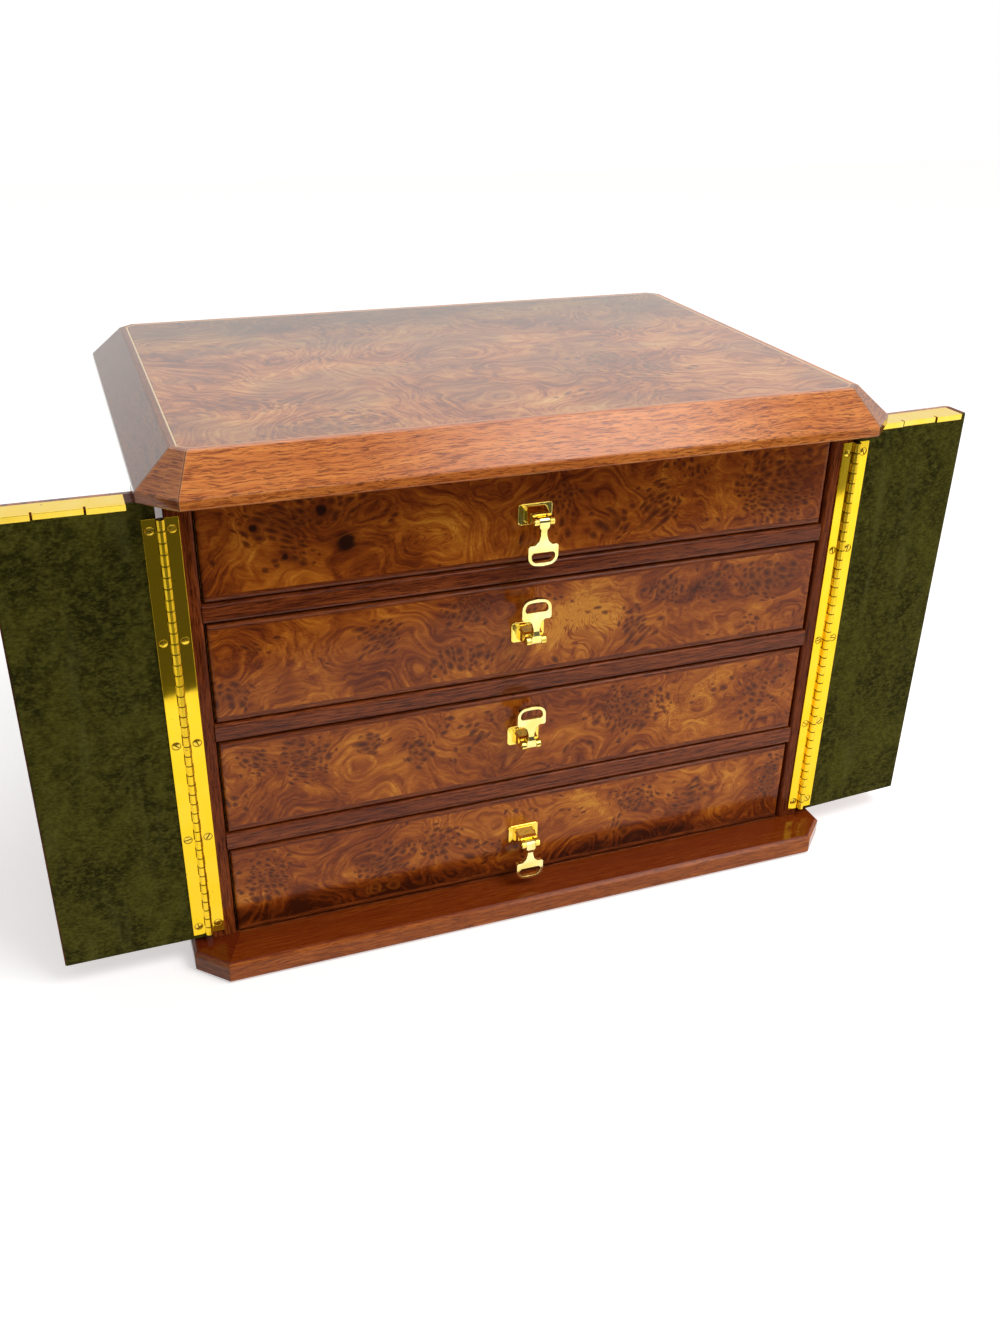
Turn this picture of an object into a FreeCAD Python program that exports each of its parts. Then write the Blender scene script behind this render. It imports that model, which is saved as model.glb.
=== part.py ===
import FreeCAD, Part
import math
import os

# Jewelry chest in mahogany and burl veneer, about 380 wide, 274 deep and 283 high with its doors shut.
# Millimetres. X to the right, Y to the back, Z up. The origin is on the floor under the middle of the top.
# Two narrow doors on piano hinges stand open beside the front, and four drawers each have a stirrup pull.

# Top slab
TOP_SIDE_OVERHANG = 11.4
FRONT_OVERHANG = 26.2
BACK_OVERHANG = 11.4
TOP_THICK = 20.9
TOP_CANT = 16.4
TOP_BAND = 5.2
TOP_BEVEL = 17.0
TOP_FLAT = 3.0
TOP_ARRIS = 0.5
INLAY_WIDE = 0.7
INLAY_DEEP = 1.2

# Plinth
PLINTH_SIDE_LEDGE = 11.0
PLINTH_FRONT_LEDGE = 24.0
PLINTH_BACK_LEDGE = 9.2
PLINTH_CANT = 15.5
PLINTH_THICK = 12.3
PLINTH_RAIL = 24.0
PLINTH_CHAMFER = 2.0
PLINTH_EASE = 1.4
BASE_THICK = 9.0

# Case
CASE_HALF_W = 178.5
CASE_DEPTH = 236.0
SIDE_THICK = 12.5
BACK_THICK = 6.0
REBATE = 6.0
TONGUE_THICK = 6.0
TONGUE_HIGH = 5.0
TONGUE_END = 12.0
ARRIS = 1.5
STILE_ARRIS = 1.0

# Rails and drawer openings, from the lowest up
RAIL_THICK = (10.2, 9.8, 9.7)
OPENING_HIGH = (54.0, 54.9, 54.7, 56.4)
RAIL_DEEP = 40.0
RAIL_STOPPED = 10.0
DUST_THICK = 6.0
HOUSING = 3.0

# Drawers
FRONT_THICK = 12.0
FRONT_SET_BACK = 0.3
FRONT_SIDE_GAP = 1.2
FRONT_TOP_GAP = 1.3
FRONT_BOTTOM_GAP = 0.6
FRONT_ROUND = 2.0
FRONT_REBATE = 6.0
BOX_BACK_CLEAR = 12.7
BOX_WALL = 8.0
BOX_SIDE_GAP = 1.0
BOX_RUN_GAP = 0.1
BOX_TOP_GAP = 2.5
BOTTOM_THICK = 4.0
BOTTOM_LIFT = 5.0
BOTTOM_HOUSING = 3.0
BACK_RUN_GAP = 1.0
BACK_TOP_DROP = 6.0
LINING_THICK = 2.5
LINING_GAP = 0.4
STOP_LONG = 35.0
STOP_WIDE = 16.0
STOP_HIGH = 4.0
STOP_AT = 110.0
STOP_GAP = 0.1

# Doors
DOOR_WIDE = 71.5
DOOR_THICK = 16.0
DOOR_TOP_GAP = 3.6
DOOR_BOTTOM_GAP = 1.2
DOOR_PANEL = 2.8
DOOR_ROUND = 2.0
VELVET_THICK = 1.5
RIGHT_DOOR_FURTHER = 3.4
CAP_START = 11.9
CAP_END = 3.5
CAP_THICK = 1.0
CAP_LIP = 3.0
TONGUE_LONG = 22.0
TONGUE_SET = 0.5
TONGUE_SLOT = 1.0
TONGUE_SLOT_DEEP = 1.5

# Piano hinges
HINGE_OUT = 1.5
HINGE_FROM_BOTTOM = 3.5
HINGE_FROM_TOP = 7.7
KNUCKLES = 42
KNUCKLE_R = 1.7
KNUCKLE_GAP = 0.1
KNUCKLE_SIDES = 8
BORE_SIDES = 4
PIN_R = 0.9
PIN_CLEAR = 0.05
LEAF_WIDE = 8.0
LEAF_THICK = 0.8
LEAF_CLEAR = 0.25
SCREW_FROM_EDGE = 3.05
SCREWS = 5
SCREW_END = 5.65
SCREW_HEAD_R = 2.15
SCREW_SHANK_R = 1.0
SCREW_TIP_R = 0.6
SCREW_LONG = 9.0
SCREW_SLOT = 0.6
SCREW_SLOT_DEEP = 0.4
SCREW_HOLE_CLEAR = 0.05
SCREW_SIDES = 8
SHANK_SIDES = 4

# Stirrup pulls, from the lowest drawer up: sideways place, height above the opening, and which stand up
PULL_X = (-3.3, -5.1, -4.3, -2.2)
PULL_UP_FROM_OPENING = (28.4, 29.4, 26.6, 26.5)
PULL_STANDS = (False, True, True, False)
PULL_REST_UP = 181.5
PLATE_WIDE = 18.0
PLATE_HIGH = 11.4
PLATE_THICK = 1.4
PLATE_CORNER = 1.6
PLATE_CHAMFER = 0.4
PULL_REACH = 11.9
FORK_WIDE = 10.4
FORK_HIGH = 5.7
FORK_BASE = 2.6
BOSS_WIDE = 12.4
BOSS_HIGH = 8.6
BOSS_CORNER = 1.3
FORK_CORNER = 0.6
LUG_R = 2.2
LUG_THICK = 2.4
PULL_PIN_R = 0.8
PULL_PIN_PROUD = 0.15
PULL_PIN_SIDES = 8
HALF_ROUND_STEPS = 6
CORNER_STEPS = 3
LOOP_STEPS = 5
EYE_R = 2.0
EYE_SIDE_GAP = 0.2
EYE_STOP_GAP = 0.08
STOP_LIP = 0.3
NECK_THICK = 2.6
NECK_HALF = 1.6
STIRRUP_LONG = 23.1
LOOP_HALF = 7.84
LOOP_CORNER = 4.9
LOOP_BELLY = 0.3
BELLY_HALF = 0.4
SHOULDER_AT = 12.0
SHOULDER_HALF = 4.5
SHOULDER_ROUND = 0.8
CHEEK_TO = 2.4
WAIST_FROM = 4.2
WAIST_TO = 6.8
FLARE_AT = 10.0
FLARE_HALF = 2.5
THIN_FROM = 5.4
HOLE_HALF = 6.2
HOLE_NEAR = 15.9
HOLE_FAR = 21.35
HOLE_CORNER = 3.2
HOLE_ROUND = 1.1
HOLE_BELLY = 0.1
PULL_SCREW_R = 1.5
PULL_SCREW_IN = 4.0
PULL_SCREW_HEAD_R = 3.0
PULL_SCREW_TOP_R = 2.1
PULL_SCREW_HEAD = 1.8

# Levels and planes that follow from the sizes above
TOP_HALF_W = CASE_HALF_W + TOP_SIDE_OVERHANG
TOP_DEPTH = FRONT_OVERHANG + CASE_DEPTH + BACK_OVERHANG
TOP_FRONT = -TOP_DEPTH / 2
TOP_BACK = TOP_DEPTH / 2
FACE = TOP_FRONT + FRONT_OVERHANG
CASE_BACK = FACE + CASE_DEPTH
PLINTH_HALF_W = CASE_HALF_W + PLINTH_SIDE_LEDGE
PLINTH_FRONT = FACE - PLINTH_FRONT_LEDGE
PLINTH_BACK = CASE_BACK + PLINTH_BACK_LEDGE
INNER_HALF = CASE_HALF_W - SIDE_THICK
CASE_TOP = PLINTH_THICK + sum(RAIL_THICK) + sum(OPENING_HIGH)
TOP_Z = CASE_TOP + TOP_THICK
BACK_IN = CASE_BACK - BACK_THICK
OPENING_LOW = [PLINTH_THICK + sum(OPENING_HIGH[:i]) + sum(RAIL_THICK[:i]) for i in range(4)]
DRAWER_FACE = FACE + FRONT_SET_BACK
DRAWER_IN = DRAWER_FACE + FRONT_THICK
BOX_START = DRAWER_IN - FRONT_REBATE
BOX_END = BACK_IN - BOX_BACK_CLEAR
BOX_HALF = INNER_HALF - BOX_SIDE_GAP
STOP_FRONT = DRAWER_IN + STOP_GAP
DOOR_LOW = PLINTH_THICK + DOOR_BOTTOM_GAP
DOOR_HIGH = CASE_TOP - DOOR_TOP_GAP
HINGE_Y = FACE - KNUCKLE_R
HINGE_LOW = DOOR_LOW + HINGE_FROM_BOTTOM
HINGE_HIGH = DOOR_HIGH - HINGE_FROM_TOP
HINGE_LONG = HINGE_HIGH - HINGE_LOW
HINGE_AXIS_X = CASE_HALF_W + HINGE_OUT
SCREW_AT = LEAF_WIDE - SCREW_FROM_EDGE
DOOR_NEAR = HINGE_AXIS_X + HINGE_OUT
DOOR_FAR = DOOR_NEAR + DOOR_WIDE
DOOR_BACK = FACE + DOOR_THICK
PANEL_IN = DOOR_BACK - DOOR_PANEL
CAP_NEAR = DOOR_NEAR + CAP_START
CAP_FAR = DOOR_FAR - CAP_END
PULL_AXIS_Y = DRAWER_FACE - PULL_REACH
PLATE_FRONT = DRAWER_FACE - PLATE_THICK
FORK_FACE = PULL_AXIS_Y + EYE_R + EYE_STOP_GAP
EYE_HALF = FORK_WIDE / 2 - LUG_THICK - EYE_SIDE_GAP

V = FreeCAD.Vector
NODES = {}


def box(x0, x1, y0, y1, z0, z1):
    """A plain block between two corners."""
    return Part.makeBox(x1 - x0, y1 - y0, z1 - z0, V(x0, y0, z0))


def fuse(solids):
    """One solid from pieces that were worked as one, without inner edges."""
    return solids[0].multiFuse(solids[1:]).removeSplitter()


def mirror(shape):
    """The same piece on the other side of the chest."""
    return shape.mirror(V(0, 0, 0), V(1, 0, 0))


def edges_where(shape, test):
    """The edges whose middle and direction meet a test."""
    found = []
    for e in shape.Edges:
        a, b = e.Vertexes[0].Point, e.Vertexes[-1].Point
        if test((a + b) * 0.5, b - a):
            found.append(e)
    return found


def octagon(half_w, front, back, leg, inset):
    """Corner points of a rectangle with cut corners, drawn in by an even inset."""
    w, f, b = half_w - inset, front + inset, back - inset
    c = leg - inset * (2 - math.sqrt(2))
    right = [(w - c, f), (w, f + c), (w, b - c), (w - c, b)]
    return right + [(-x, y) for x, y in right[::-1]]


def face_of(points, z):
    """A flat face through points at one level."""
    ring = [V(x, y, z) for x, y in points]
    return Part.Face(Part.makePolygon(ring + ring[:1]))


def prism(points, z0, z1):
    """An upright block over a flat outline."""
    return face_of(points, z0).extrude(V(0, 0, z1 - z0))


def between(low, high):
    """A solid with flat sides between two outlines that have the same number of corners."""
    faces = [Part.Face(Part.makePolygon(ring + ring[:1])) for ring in (low, high)]
    for i in range(len(low)):
        j = (i + 1) % len(low)
        faces.append(Part.Face(Part.makePolygon([low[i], low[j], high[j], high[i], low[i]])))
    solid = Part.Solid(Part.makeShell(faces))
    if solid.Volume < 0:
        solid.reverse()
    return solid


def mitred(ring, outline, reach, z0, z1):
    """A ring cut into its eight lengths of moulding at the mitres."""
    far, near = octagon(*outline, -5.0), octagon(*outline, reach + 1.0)
    lengths = []
    for i in range(8):
        j = (i + 1) % 8
        wedge = prism([far[i], far[j], near[j], near[i]], z0 - 1, z1 + 1)
        lengths.append(ring.common(wedge))
    return Part.makeCompound([s for length in lengths for s in length.Solids])


# Plinth: eight mitred lengths, chamfered above and eased below, round a flat base board
def plinth():
    outline = (PLINTH_HALF_W, PLINTH_FRONT, PLINTH_BACK, PLINTH_CANT)
    whole = prism(octagon(*outline, 0.0), 0.0, PLINTH_THICK)
    upper = edges_where(whole, lambda m, d: abs(m.z - PLINTH_THICK) < 1e-6)
    whole = whole.makeChamfer(PLINTH_CHAMFER, upper)
    lower = edges_where(whole, lambda m, d: abs(m.z) < 1e-6)
    whole = whole.makeChamfer(PLINTH_EASE, lower)
    inner = octagon(*outline, PLINTH_RAIL)
    ring = whole.cut(prism(inner, -1.0, PLINTH_THICK + 1.0))
    for side in side_tongues(0):
        ring = ring.cut(side)
    NODES["plinth_moulding"] = mitred(ring, outline, PLINTH_RAIL, 0.0, PLINTH_THICK)
    NODES["base_board"] = prism(inner, PLINTH_THICK - BASE_THICK, PLINTH_THICK)


def side_tongues(end):
    """The long tongues that seat the sides in the plinth (0) or in the top (1)."""
    mid = CASE_HALF_W - SIDE_THICK / 2
    z0 = CASE_TOP if end else PLINTH_THICK - TONGUE_HIGH
    low, high = FACE + TONGUE_END, CASE_BACK - TONGUE_END
    right = box(mid - TONGUE_THICK / 2, mid + TONGUE_THICK / 2, low, high, z0, z0 + TONGUE_HIGH)
    return [mirror(right), right]


# Top: burl panel, pale inlay string and eight mitred bevelled mouldings
def top():
    outline = (TOP_HALF_W, TOP_FRONT, TOP_BACK, TOP_CANT)
    band = prism(octagon(*outline, 0.0), CASE_TOP, CASE_TOP + TOP_BAND)
    low = [V(x, y, CASE_TOP + TOP_BAND) for x, y in octagon(*outline, 0.0)]
    high = [V(x, y, TOP_Z) for x, y in octagon(*outline, TOP_BEVEL)]
    whole = fuse([band, between(low, high)])
    arris = edges_where(whole, lambda m, d: abs(d.z) < 1e-6)
    whole = whole.makeChamfer(TOP_ARRIS, arris)
    border = TOP_BEVEL + TOP_FLAT
    panel = octagon(*outline, border)
    ring = whole.cut(prism(panel, CASE_TOP - 1, TOP_Z + 1))
    board = prism(panel, CASE_TOP, TOP_Z)
    for side in side_tongues(1):
        ring = ring.cut(side)
        board = board.cut(side)
    NODES["top_edging"] = mitred(ring, outline, border, CASE_TOP, TOP_Z)
    inside = octagon(*outline, border + INLAY_WIDE)
    string = prism(panel, TOP_Z - INLAY_DEEP, TOP_Z).cut(prism(inside, CASE_TOP, TOP_Z + 1))
    NODES["top_inlay"] = string
    NODES["top_panel"] = board.cut(string)


# Case sides: housed for the shelves, rebated for the back, tongued into plinth and top
def sides():
    right = box(INNER_HALF, CASE_HALF_W, FACE, CASE_BACK, PLINTH_THICK, CASE_TOP)
    inner = edges_where(right, lambda m, d: abs(d.z) > 1 and m.y < FACE + 1 and m.x < INNER_HALF + 1)
    right = right.makeFillet(ARRIS, inner)
    outer = edges_where(right, lambda m, d: abs(d.z) > 1 and m.y < FACE + 1 and m.x > CASE_HALF_W - 1)
    right = right.makeFillet(STILE_ARRIS, outer)
    right = fuse([right, side_tongues(0)[1], side_tongues(1)[1]])
    right = right.cut(box(INNER_HALF, INNER_HALF + REBATE, BACK_IN, CASE_BACK, PLINTH_THICK, CASE_TOP))
    for i in range(3):
        level = OPENING_LOW[i + 1]
        right = right.cut(
            box(INNER_HALF, INNER_HALF + HOUSING, FACE + RAIL_STOPPED, BACK_IN, level - DUST_THICK, level)
        )
    for screw in screw_bodies(-1):
        right = right.cut(screw)
    NODES["case_side_right"] = right
    NODES["case_side_left"] = mirror(right)
    half = INNER_HALF + REBATE
    NODES["case_back"] = box(-half, half, BACK_IN, CASE_BACK, PLINTH_THICK, CASE_TOP)


# Shelves: a mahogany rail with rounded arrises in front of a thin dust board
def shelves():
    names = ("shelf_lower", "shelf_middle", "shelf_upper")
    for i, name in enumerate(names):
        level = OPENING_LOW[i + 1]
        under = level - RAIL_THICK[i]
        rail = box(-INNER_HALF, INNER_HALF, FACE, FACE + RAIL_DEEP, under, level)
        rail = rail.makeFillet(ARRIS, edges_where(rail, lambda m, d: abs(d.x) > 1 and m.y < FACE + 1))
        half = INNER_HALF + HOUSING
        tenon = box(-half, half, FACE + RAIL_STOPPED, FACE + RAIL_DEEP, level - DUST_THICK, level)
        dust = box(-half, half, FACE + RAIL_DEEP, BACK_IN, level - DUST_THICK, level)
        NODES[name] = Part.makeCompound([fuse([rail, tenon]), dust])


# Stop strips: the drawer front meets them when shut and the drawer back when pulled out
def stops():
    strips = []
    for level in OPENING_LOW:
        for x in (-STOP_AT, STOP_AT):
            low, high = x - STOP_WIDE / 2, x + STOP_WIDE / 2
            strips.append(box(low, high, STOP_FRONT, STOP_FRONT + STOP_LONG, level, level + STOP_HIGH))
    NODES["drawer_stops"] = Part.makeCompound(strips)


def drawer(i):
    """One drawer: rounded front, box of two sides, back and bottom, and the lining on the bottom."""
    name = "drawer_%d" % (i + 1)
    low, high = OPENING_LOW[i], OPENING_LOW[i] + OPENING_HIGH[i]
    half = INNER_HALF - FRONT_SIDE_GAP
    front = box(-half, half, DRAWER_FACE, DRAWER_IN, low + FRONT_BOTTOM_GAP, high - FRONT_TOP_GAP)
    rim = edges_where(front, lambda m, d: m.y < DRAWER_FACE + 1e-6)
    front = front.makeFillet(FRONT_ROUND, rim)
    side_low, side_high = low + BOX_RUN_GAP, high - BOX_TOP_GAP
    left = box(-BOX_HALF, -BOX_HALF + BOX_WALL, BOX_START, BOX_END, side_low, side_high)
    floor_low = low + BOTTOM_LIFT
    inner = BOX_HALF - BOX_WALL
    wide = inner + BOTTOM_HOUSING
    floor = box(-wide, wide, BOX_START, BOX_END - BOX_WALL, floor_low, floor_low + BOTTOM_THICK)
    back = box(-inner, inner, BOX_END - BOX_WALL, BOX_END, low + BACK_RUN_GAP, high - BACK_TOP_DROP)
    left = left.cut(floor)
    NODES[name + "_box"] = Part.makeCompound([left, mirror(left), back, floor])
    front = front.cut(box(-half, -inner, BOX_START, DRAWER_IN, side_low - 1, high))
    front = front.cut(box(inner, half, BOX_START, DRAWER_IN, side_low - 1, high))
    front = front.cut(floor)
    NODES[name + "_front"] = front.cut(pull_screw_body(i))
    edge = inner - LINING_GAP
    y0, y1 = DRAWER_IN + LINING_GAP, BOX_END - BOX_WALL - LINING_GAP
    z0 = floor_low + BOTTOM_THICK
    lining = box(-edge, edge, y0, y1, z0, z0 + LINING_THICK)
    NODES[name + "_lining"] = lining


def at_pull(shape, i):
    """A pull's piece, drawn about its pin, put on its drawer."""
    return shape.translated(V(PULL_X[i], PULL_AXIS_Y, OPENING_LOW[i] + PULL_UP_FROM_OPENING[i]))


def bend(x, y, r, start, turn, steps):
    """Points along a round stretch about a centre, from one angle through a turn, in degrees."""
    angles = [math.radians(start + turn * k / steps) for k in range(steps + 1)]
    return [(x + r * math.cos(a), y + r * math.sin(a)) for a in angles]


def rounded(half_w, half_h, corner, steps):
    """Corner points of a rectangle whose corners are rounded in a few steps."""
    points = []
    in_w, in_h = half_w - corner, half_h - corner
    for side_x, side_z, start in ((1, 1, 0), (-1, 1, 90), (-1, -1, 180), (1, -1, 270)):
        points += bend(side_x * in_w, side_z * in_h, corner, start, 90, steps)
    return points


def upright(points, y):
    """The points of an outline stood up in a plane that faces the front."""
    return [V(x, y, z) for x, z in points]


def across(points, x0, x1):
    """A bar along X over an outline of depths and heights."""
    return between([V(x0, y, z) for y, z in points], [V(x1, y, z) for y, z in points])


def taper(r0, r1, sides, x, y0, y1, z):
    """A many-sided taper from one radius at y0 to another at y1."""
    start = 180 / sides
    near = bend(x, z, r0, start, 360, sides)[:-1]
    far = bend(x, z, r1, start, 360, sides)[:-1]
    return between(upright(near, y0), upright(far, y1))


# Pull mount: plate with rounded corners, tapered boss, and a fork whose two lugs carry the riveted pin
def pull_mount(i):
    rear = DRAWER_FACE - PULL_AXIS_Y
    front = PLATE_FRONT - PULL_AXIS_Y
    face = FORK_FACE - PULL_AXIS_Y
    base = face + FORK_BASE
    half_w, half_h, cut = PLATE_WIDE / 2, PLATE_HIGH / 2, PLATE_CHAMFER
    edge = rounded(half_w, half_h, PLATE_CORNER, CORNER_STEPS)
    rim = rounded(half_w - cut, half_h - cut, PLATE_CORNER - cut, CORNER_STEPS)
    plate = between(upright(edge, rear), upright(edge, front + cut))
    bevel = between(upright(edge, front + cut), upright(rim, front))
    foot = rounded(BOSS_WIDE / 2, BOSS_HIGH / 2, BOSS_CORNER, 1)
    head = rounded(FORK_WIDE / 2, FORK_HIGH / 2, FORK_CORNER, 1)
    boss = between(upright(foot, front), upright(head, base))
    block = between(upright(head, base), upright(head, face))
    lug = bend(0, 0, LUG_R, 90, 180, HALF_ROUND_STEPS)
    lug += [(face + FORK_BASE / 2, -LUG_R), (face + FORK_BASE / 2, LUG_R)]
    half = FORK_WIDE / 2
    lugs = [across(lug, x, x + LUG_THICK) for x in (-half, half - LUG_THICK)]
    pin_end = half + PULL_PIN_PROUD
    pin = across(bend(0, 0, PULL_PIN_R, 0, 360, PULL_PIN_SIDES)[:-1], -pin_end, pin_end)
    mount = fuse([plate, bevel, boss, block, pin] + lugs)
    NODES["drawer_%d_pull_mount" % (i + 1)] = at_pull(mount, i).cut(pull_screw_body(i))


def pull_screw_body(i):
    """The machine screw of a pull, also the shape of its hole."""
    head_y = DRAWER_IN - PULL_AXIS_Y
    tip = PLATE_FRONT - PULL_AXIS_Y - PULL_SCREW_IN
    shank = taper(PULL_SCREW_R, PULL_SCREW_R, SCREW_SIDES, 0, tip, head_y, 0)
    top_y = head_y + PULL_SCREW_HEAD
    head = taper(PULL_SCREW_HEAD_R, PULL_SCREW_TOP_R, SCREW_SIDES, 0, head_y, top_y, 0)
    return at_pull(fuse([shank, head]), i)


def pull_screw(i):
    """The screw that holds a pull from inside its drawer, with its slot."""
    top = DRAWER_IN - PULL_AXIS_Y + PULL_SCREW_HEAD
    r = PULL_SCREW_HEAD_R
    slot = box(-r, r, top - SCREW_SLOT, top + 1, -SCREW_SLOT / 2, SCREW_SLOT / 2)
    return pull_screw_body(i).cut(at_pull(slot, i))


def both_sides(half):
    """A closed flat face from the points of its right half, mirrored about the stirrup's middle."""
    ring = [V(x, 0, -z) for x, z in half] + [V(-x, 0, -z) for x, z in half[::-1]]
    return Part.Face(Part.makePolygon(ring + ring[:1]))


# Stirrup: round eye, narrow neck flaring to square shoulders, and a D-shaped finger loop
def stirrup(i):
    outer = [(EYE_HALF, -EYE_R), (EYE_HALF, CHEEK_TO), (NECK_HALF, WAIST_FROM), (NECK_HALF, WAIST_TO)]
    outer += [(FLARE_HALF, FLARE_AT), (SHOULDER_HALF, SHOULDER_AT)]
    outer += [(LOOP_HALF - SHOULDER_ROUND, SHOULDER_AT), (LOOP_HALF, SHOULDER_AT + SHOULDER_ROUND)]
    turn_at = STIRRUP_LONG - LOOP_BELLY - LOOP_CORNER
    outer += bend(LOOP_HALF - LOOP_CORNER, turn_at, LOOP_CORNER, 0, 90, LOOP_STEPS)
    hole = [(HOLE_HALF - HOLE_ROUND, HOLE_NEAR), (HOLE_HALF, HOLE_NEAR + HOLE_ROUND)]
    turn_at = HOLE_FAR - HOLE_BELLY - HOLE_CORNER
    hole += bend(HOLE_HALF - HOLE_CORNER, turn_at, HOLE_CORNER, 0, 90, LOOP_STEPS - 1)
    flat = both_sides(outer + [(BELLY_HALF, STIRRUP_LONG)]).cut(both_sides(hole + [(BELLY_HALF, HOLE_FAR)]))
    sheet = flat.extrude(V(0, 2 * EYE_R, 0)).translated(V(0, -EYE_R, 0))
    half, end = NECK_THICK / 2, -STIRRUP_LONG - 1
    lip = -FORK_HIGH / 2 - STOP_LIP
    side = bend(0, 0, EYE_R, 0, 180, HALF_ROUND_STEPS) + [(-EYE_R, lip), (-half, -THIN_FROM), (-half, end)]
    side += [(half, end), (half, -THIN_FROM), (EYE_R, lip)]
    body = sheet.common(across(side, -LOOP_HALF - 1, LOOP_HALF + 1))
    body = body.cut(Part.makeCylinder(PULL_PIN_R + PIN_CLEAR, FORK_WIDE, V(-FORK_WIDE / 2, 0, 0), V(1, 0, 0)))
    if PULL_STANDS[i]:
        body = body.rotated(V(0, 0, 0), V(1, 0, 0), -PULL_REST_UP)
    NODES["drawer_%d_stirrup" % (i + 1)] = at_pull(body, i)


# Door, drawn for the right side standing square open: velvet, core, outer panel and brass cap
def door_pieces():
    core = box(DOOR_NEAR, DOOR_FAR, FACE + VELVET_THICK, PANEL_IN, DOOR_LOW, DOOR_HIGH)
    seat = box(CAP_NEAR, CAP_FAR, FACE, PANEL_IN, DOOR_HIGH - CAP_THICK, DOOR_HIGH + 1)
    core = core.cut(seat)
    panel = box(DOOR_NEAR, DOOR_FAR, PANEL_IN, DOOR_BACK, DOOR_LOW, DOOR_HIGH)
    corner = edges_where(panel, lambda m, d: abs(d.z) > 1 and m.x > DOOR_FAR - 1 and m.y > DOOR_BACK - 1)
    panel = panel.makeFillet(DOOR_ROUND, corner)
    velvet = box(DOOR_NEAR, DOOR_FAR, FACE, FACE + VELVET_THICK, DOOR_LOW, DOOR_HIGH)
    velvet = velvet.cut(box(CAP_NEAR, CAP_FAR, FACE, FACE + VELVET_THICK, DOOR_HIGH - CAP_LIP, DOOR_HIGH + 1))
    for screw in screw_bodies(1):
        core = core.cut(screw)
        velvet = velvet.cut(screw)
    return {"core": core, "panel": panel, "velvet": velvet, "cap": door_cap()}


def door_cap():
    """The brass cap: top plate, front lip and a short tongue set back between two slots."""
    middle = (CAP_NEAR + CAP_FAR) / 2
    t0, t1 = middle - TONGUE_LONG / 2, middle + TONGUE_LONG / 2
    plate = box(CAP_NEAR, CAP_FAR, FACE, PANEL_IN, DOOR_HIGH - CAP_THICK, DOOR_HIGH)
    lip = box(CAP_NEAR, CAP_FAR, FACE, FACE + CAP_THICK, DOOR_HIGH - CAP_LIP, DOOR_HIGH - CAP_THICK)
    cap = fuse([plate, lip])
    cap = cap.cut(box(t0, t1, FACE - 1, FACE + TONGUE_SET, DOOR_HIGH - CAP_LIP, DOOR_HIGH + 1))
    under = DOOR_HIGH - CAP_THICK
    fill = box(t0, t1, FACE + CAP_THICK, FACE + VELVET_THICK, DOOR_HIGH - CAP_LIP, under)
    cap = fuse([cap, fill])
    for x in (t0 - TONGUE_SLOT / 2, t1 - TONGUE_SLOT / 2):
        deep = FACE + VELVET_THICK + TONGUE_SLOT_DEEP
        cap = cap.cut(box(x, x + TONGUE_SLOT, FACE - 1, deep, DOOR_HIGH - CAP_LIP - 1, DOOR_HIGH + 1))
    return cap


def hinge_bar(r, sides, z0, z1):
    """An upright many-sided bar whose flats lie at radius r from the hinge axis."""
    out = r / math.cos(math.pi / sides)
    return prism(bend(HINGE_AXIS_X, HINGE_Y, out, 180 / sides, 360, sides)[:-1], z0, z1)


# Hinge leaf with its rolled knuckles: every second one belongs to the other leaf
def hinge_leaf(way, first):
    near, far = sorted((HINGE_AXIS_X + way * (KNUCKLE_R + LEAF_CLEAR), HINGE_AXIS_X + way * LEAF_WIDE))
    leaf = box(near, far, FACE - LEAF_THICK, FACE, HINGE_LOW, HINGE_HIGH)
    pitch = HINGE_LONG / KNUCKLES
    rolls = []
    for k in range(first, KNUCKLES, 2):
        z0 = HINGE_LOW + k * pitch + KNUCKLE_GAP / 2
        z1 = HINGE_LOW + (k + 1) * pitch - KNUCKLE_GAP / 2
        rolls.append(hinge_bar(KNUCKLE_R, KNUCKLE_SIDES, z0, z1))
        x0, x1 = sorted((HINGE_AXIS_X, HINGE_AXIS_X + way * (KNUCKLE_R + LEAF_CLEAR)))
        rolls.append(box(x0, x1, FACE - LEAF_THICK, FACE, z0, z1))
    leaf = fuse([leaf] + rolls)
    bore = hinge_bar(PIN_R + PIN_CLEAR, BORE_SIDES, HINGE_LOW - 1, HINGE_HIGH + 1)
    leaf = leaf.cut(bore)
    x = HINGE_AXIS_X + way * SCREW_AT
    wide = SCREW_HEAD_R + SCREW_HOLE_CLEAR
    for z in screw_levels():
        leaf = leaf.cut(taper(wide, wide - LEAF_THICK, SCREW_SIDES, x, FACE - LEAF_THICK, FACE, z))
    return leaf


def screw_levels():
    """Heights of the hinge screws, evenly spaced between the end ones."""
    step = (HINGE_LONG - 2 * SCREW_END) / (SCREWS - 1)
    return [HINGE_LOW + SCREW_END + n * step for n in range(SCREWS)]


def screw_bodies(way):
    """Countersunk screws of one leaf, also the shape of their holes in the wood."""
    x = HINGE_AXIS_X + way * SCREW_AT
    top = FACE - LEAF_THICK
    neck, tip = top + SCREW_HEAD_R - SCREW_SHANK_R, top + SCREW_LONG
    bodies = []
    for z in screw_levels():
        head = taper(SCREW_HEAD_R, SCREW_SHANK_R, SCREW_SIDES, x, top, neck, z)
        shank = taper(SCREW_SHANK_R, SCREW_TIP_R, SHANK_SIDES, x, neck, tip, z)
        bodies.append(head.fuse(shank))
    return bodies


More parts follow.
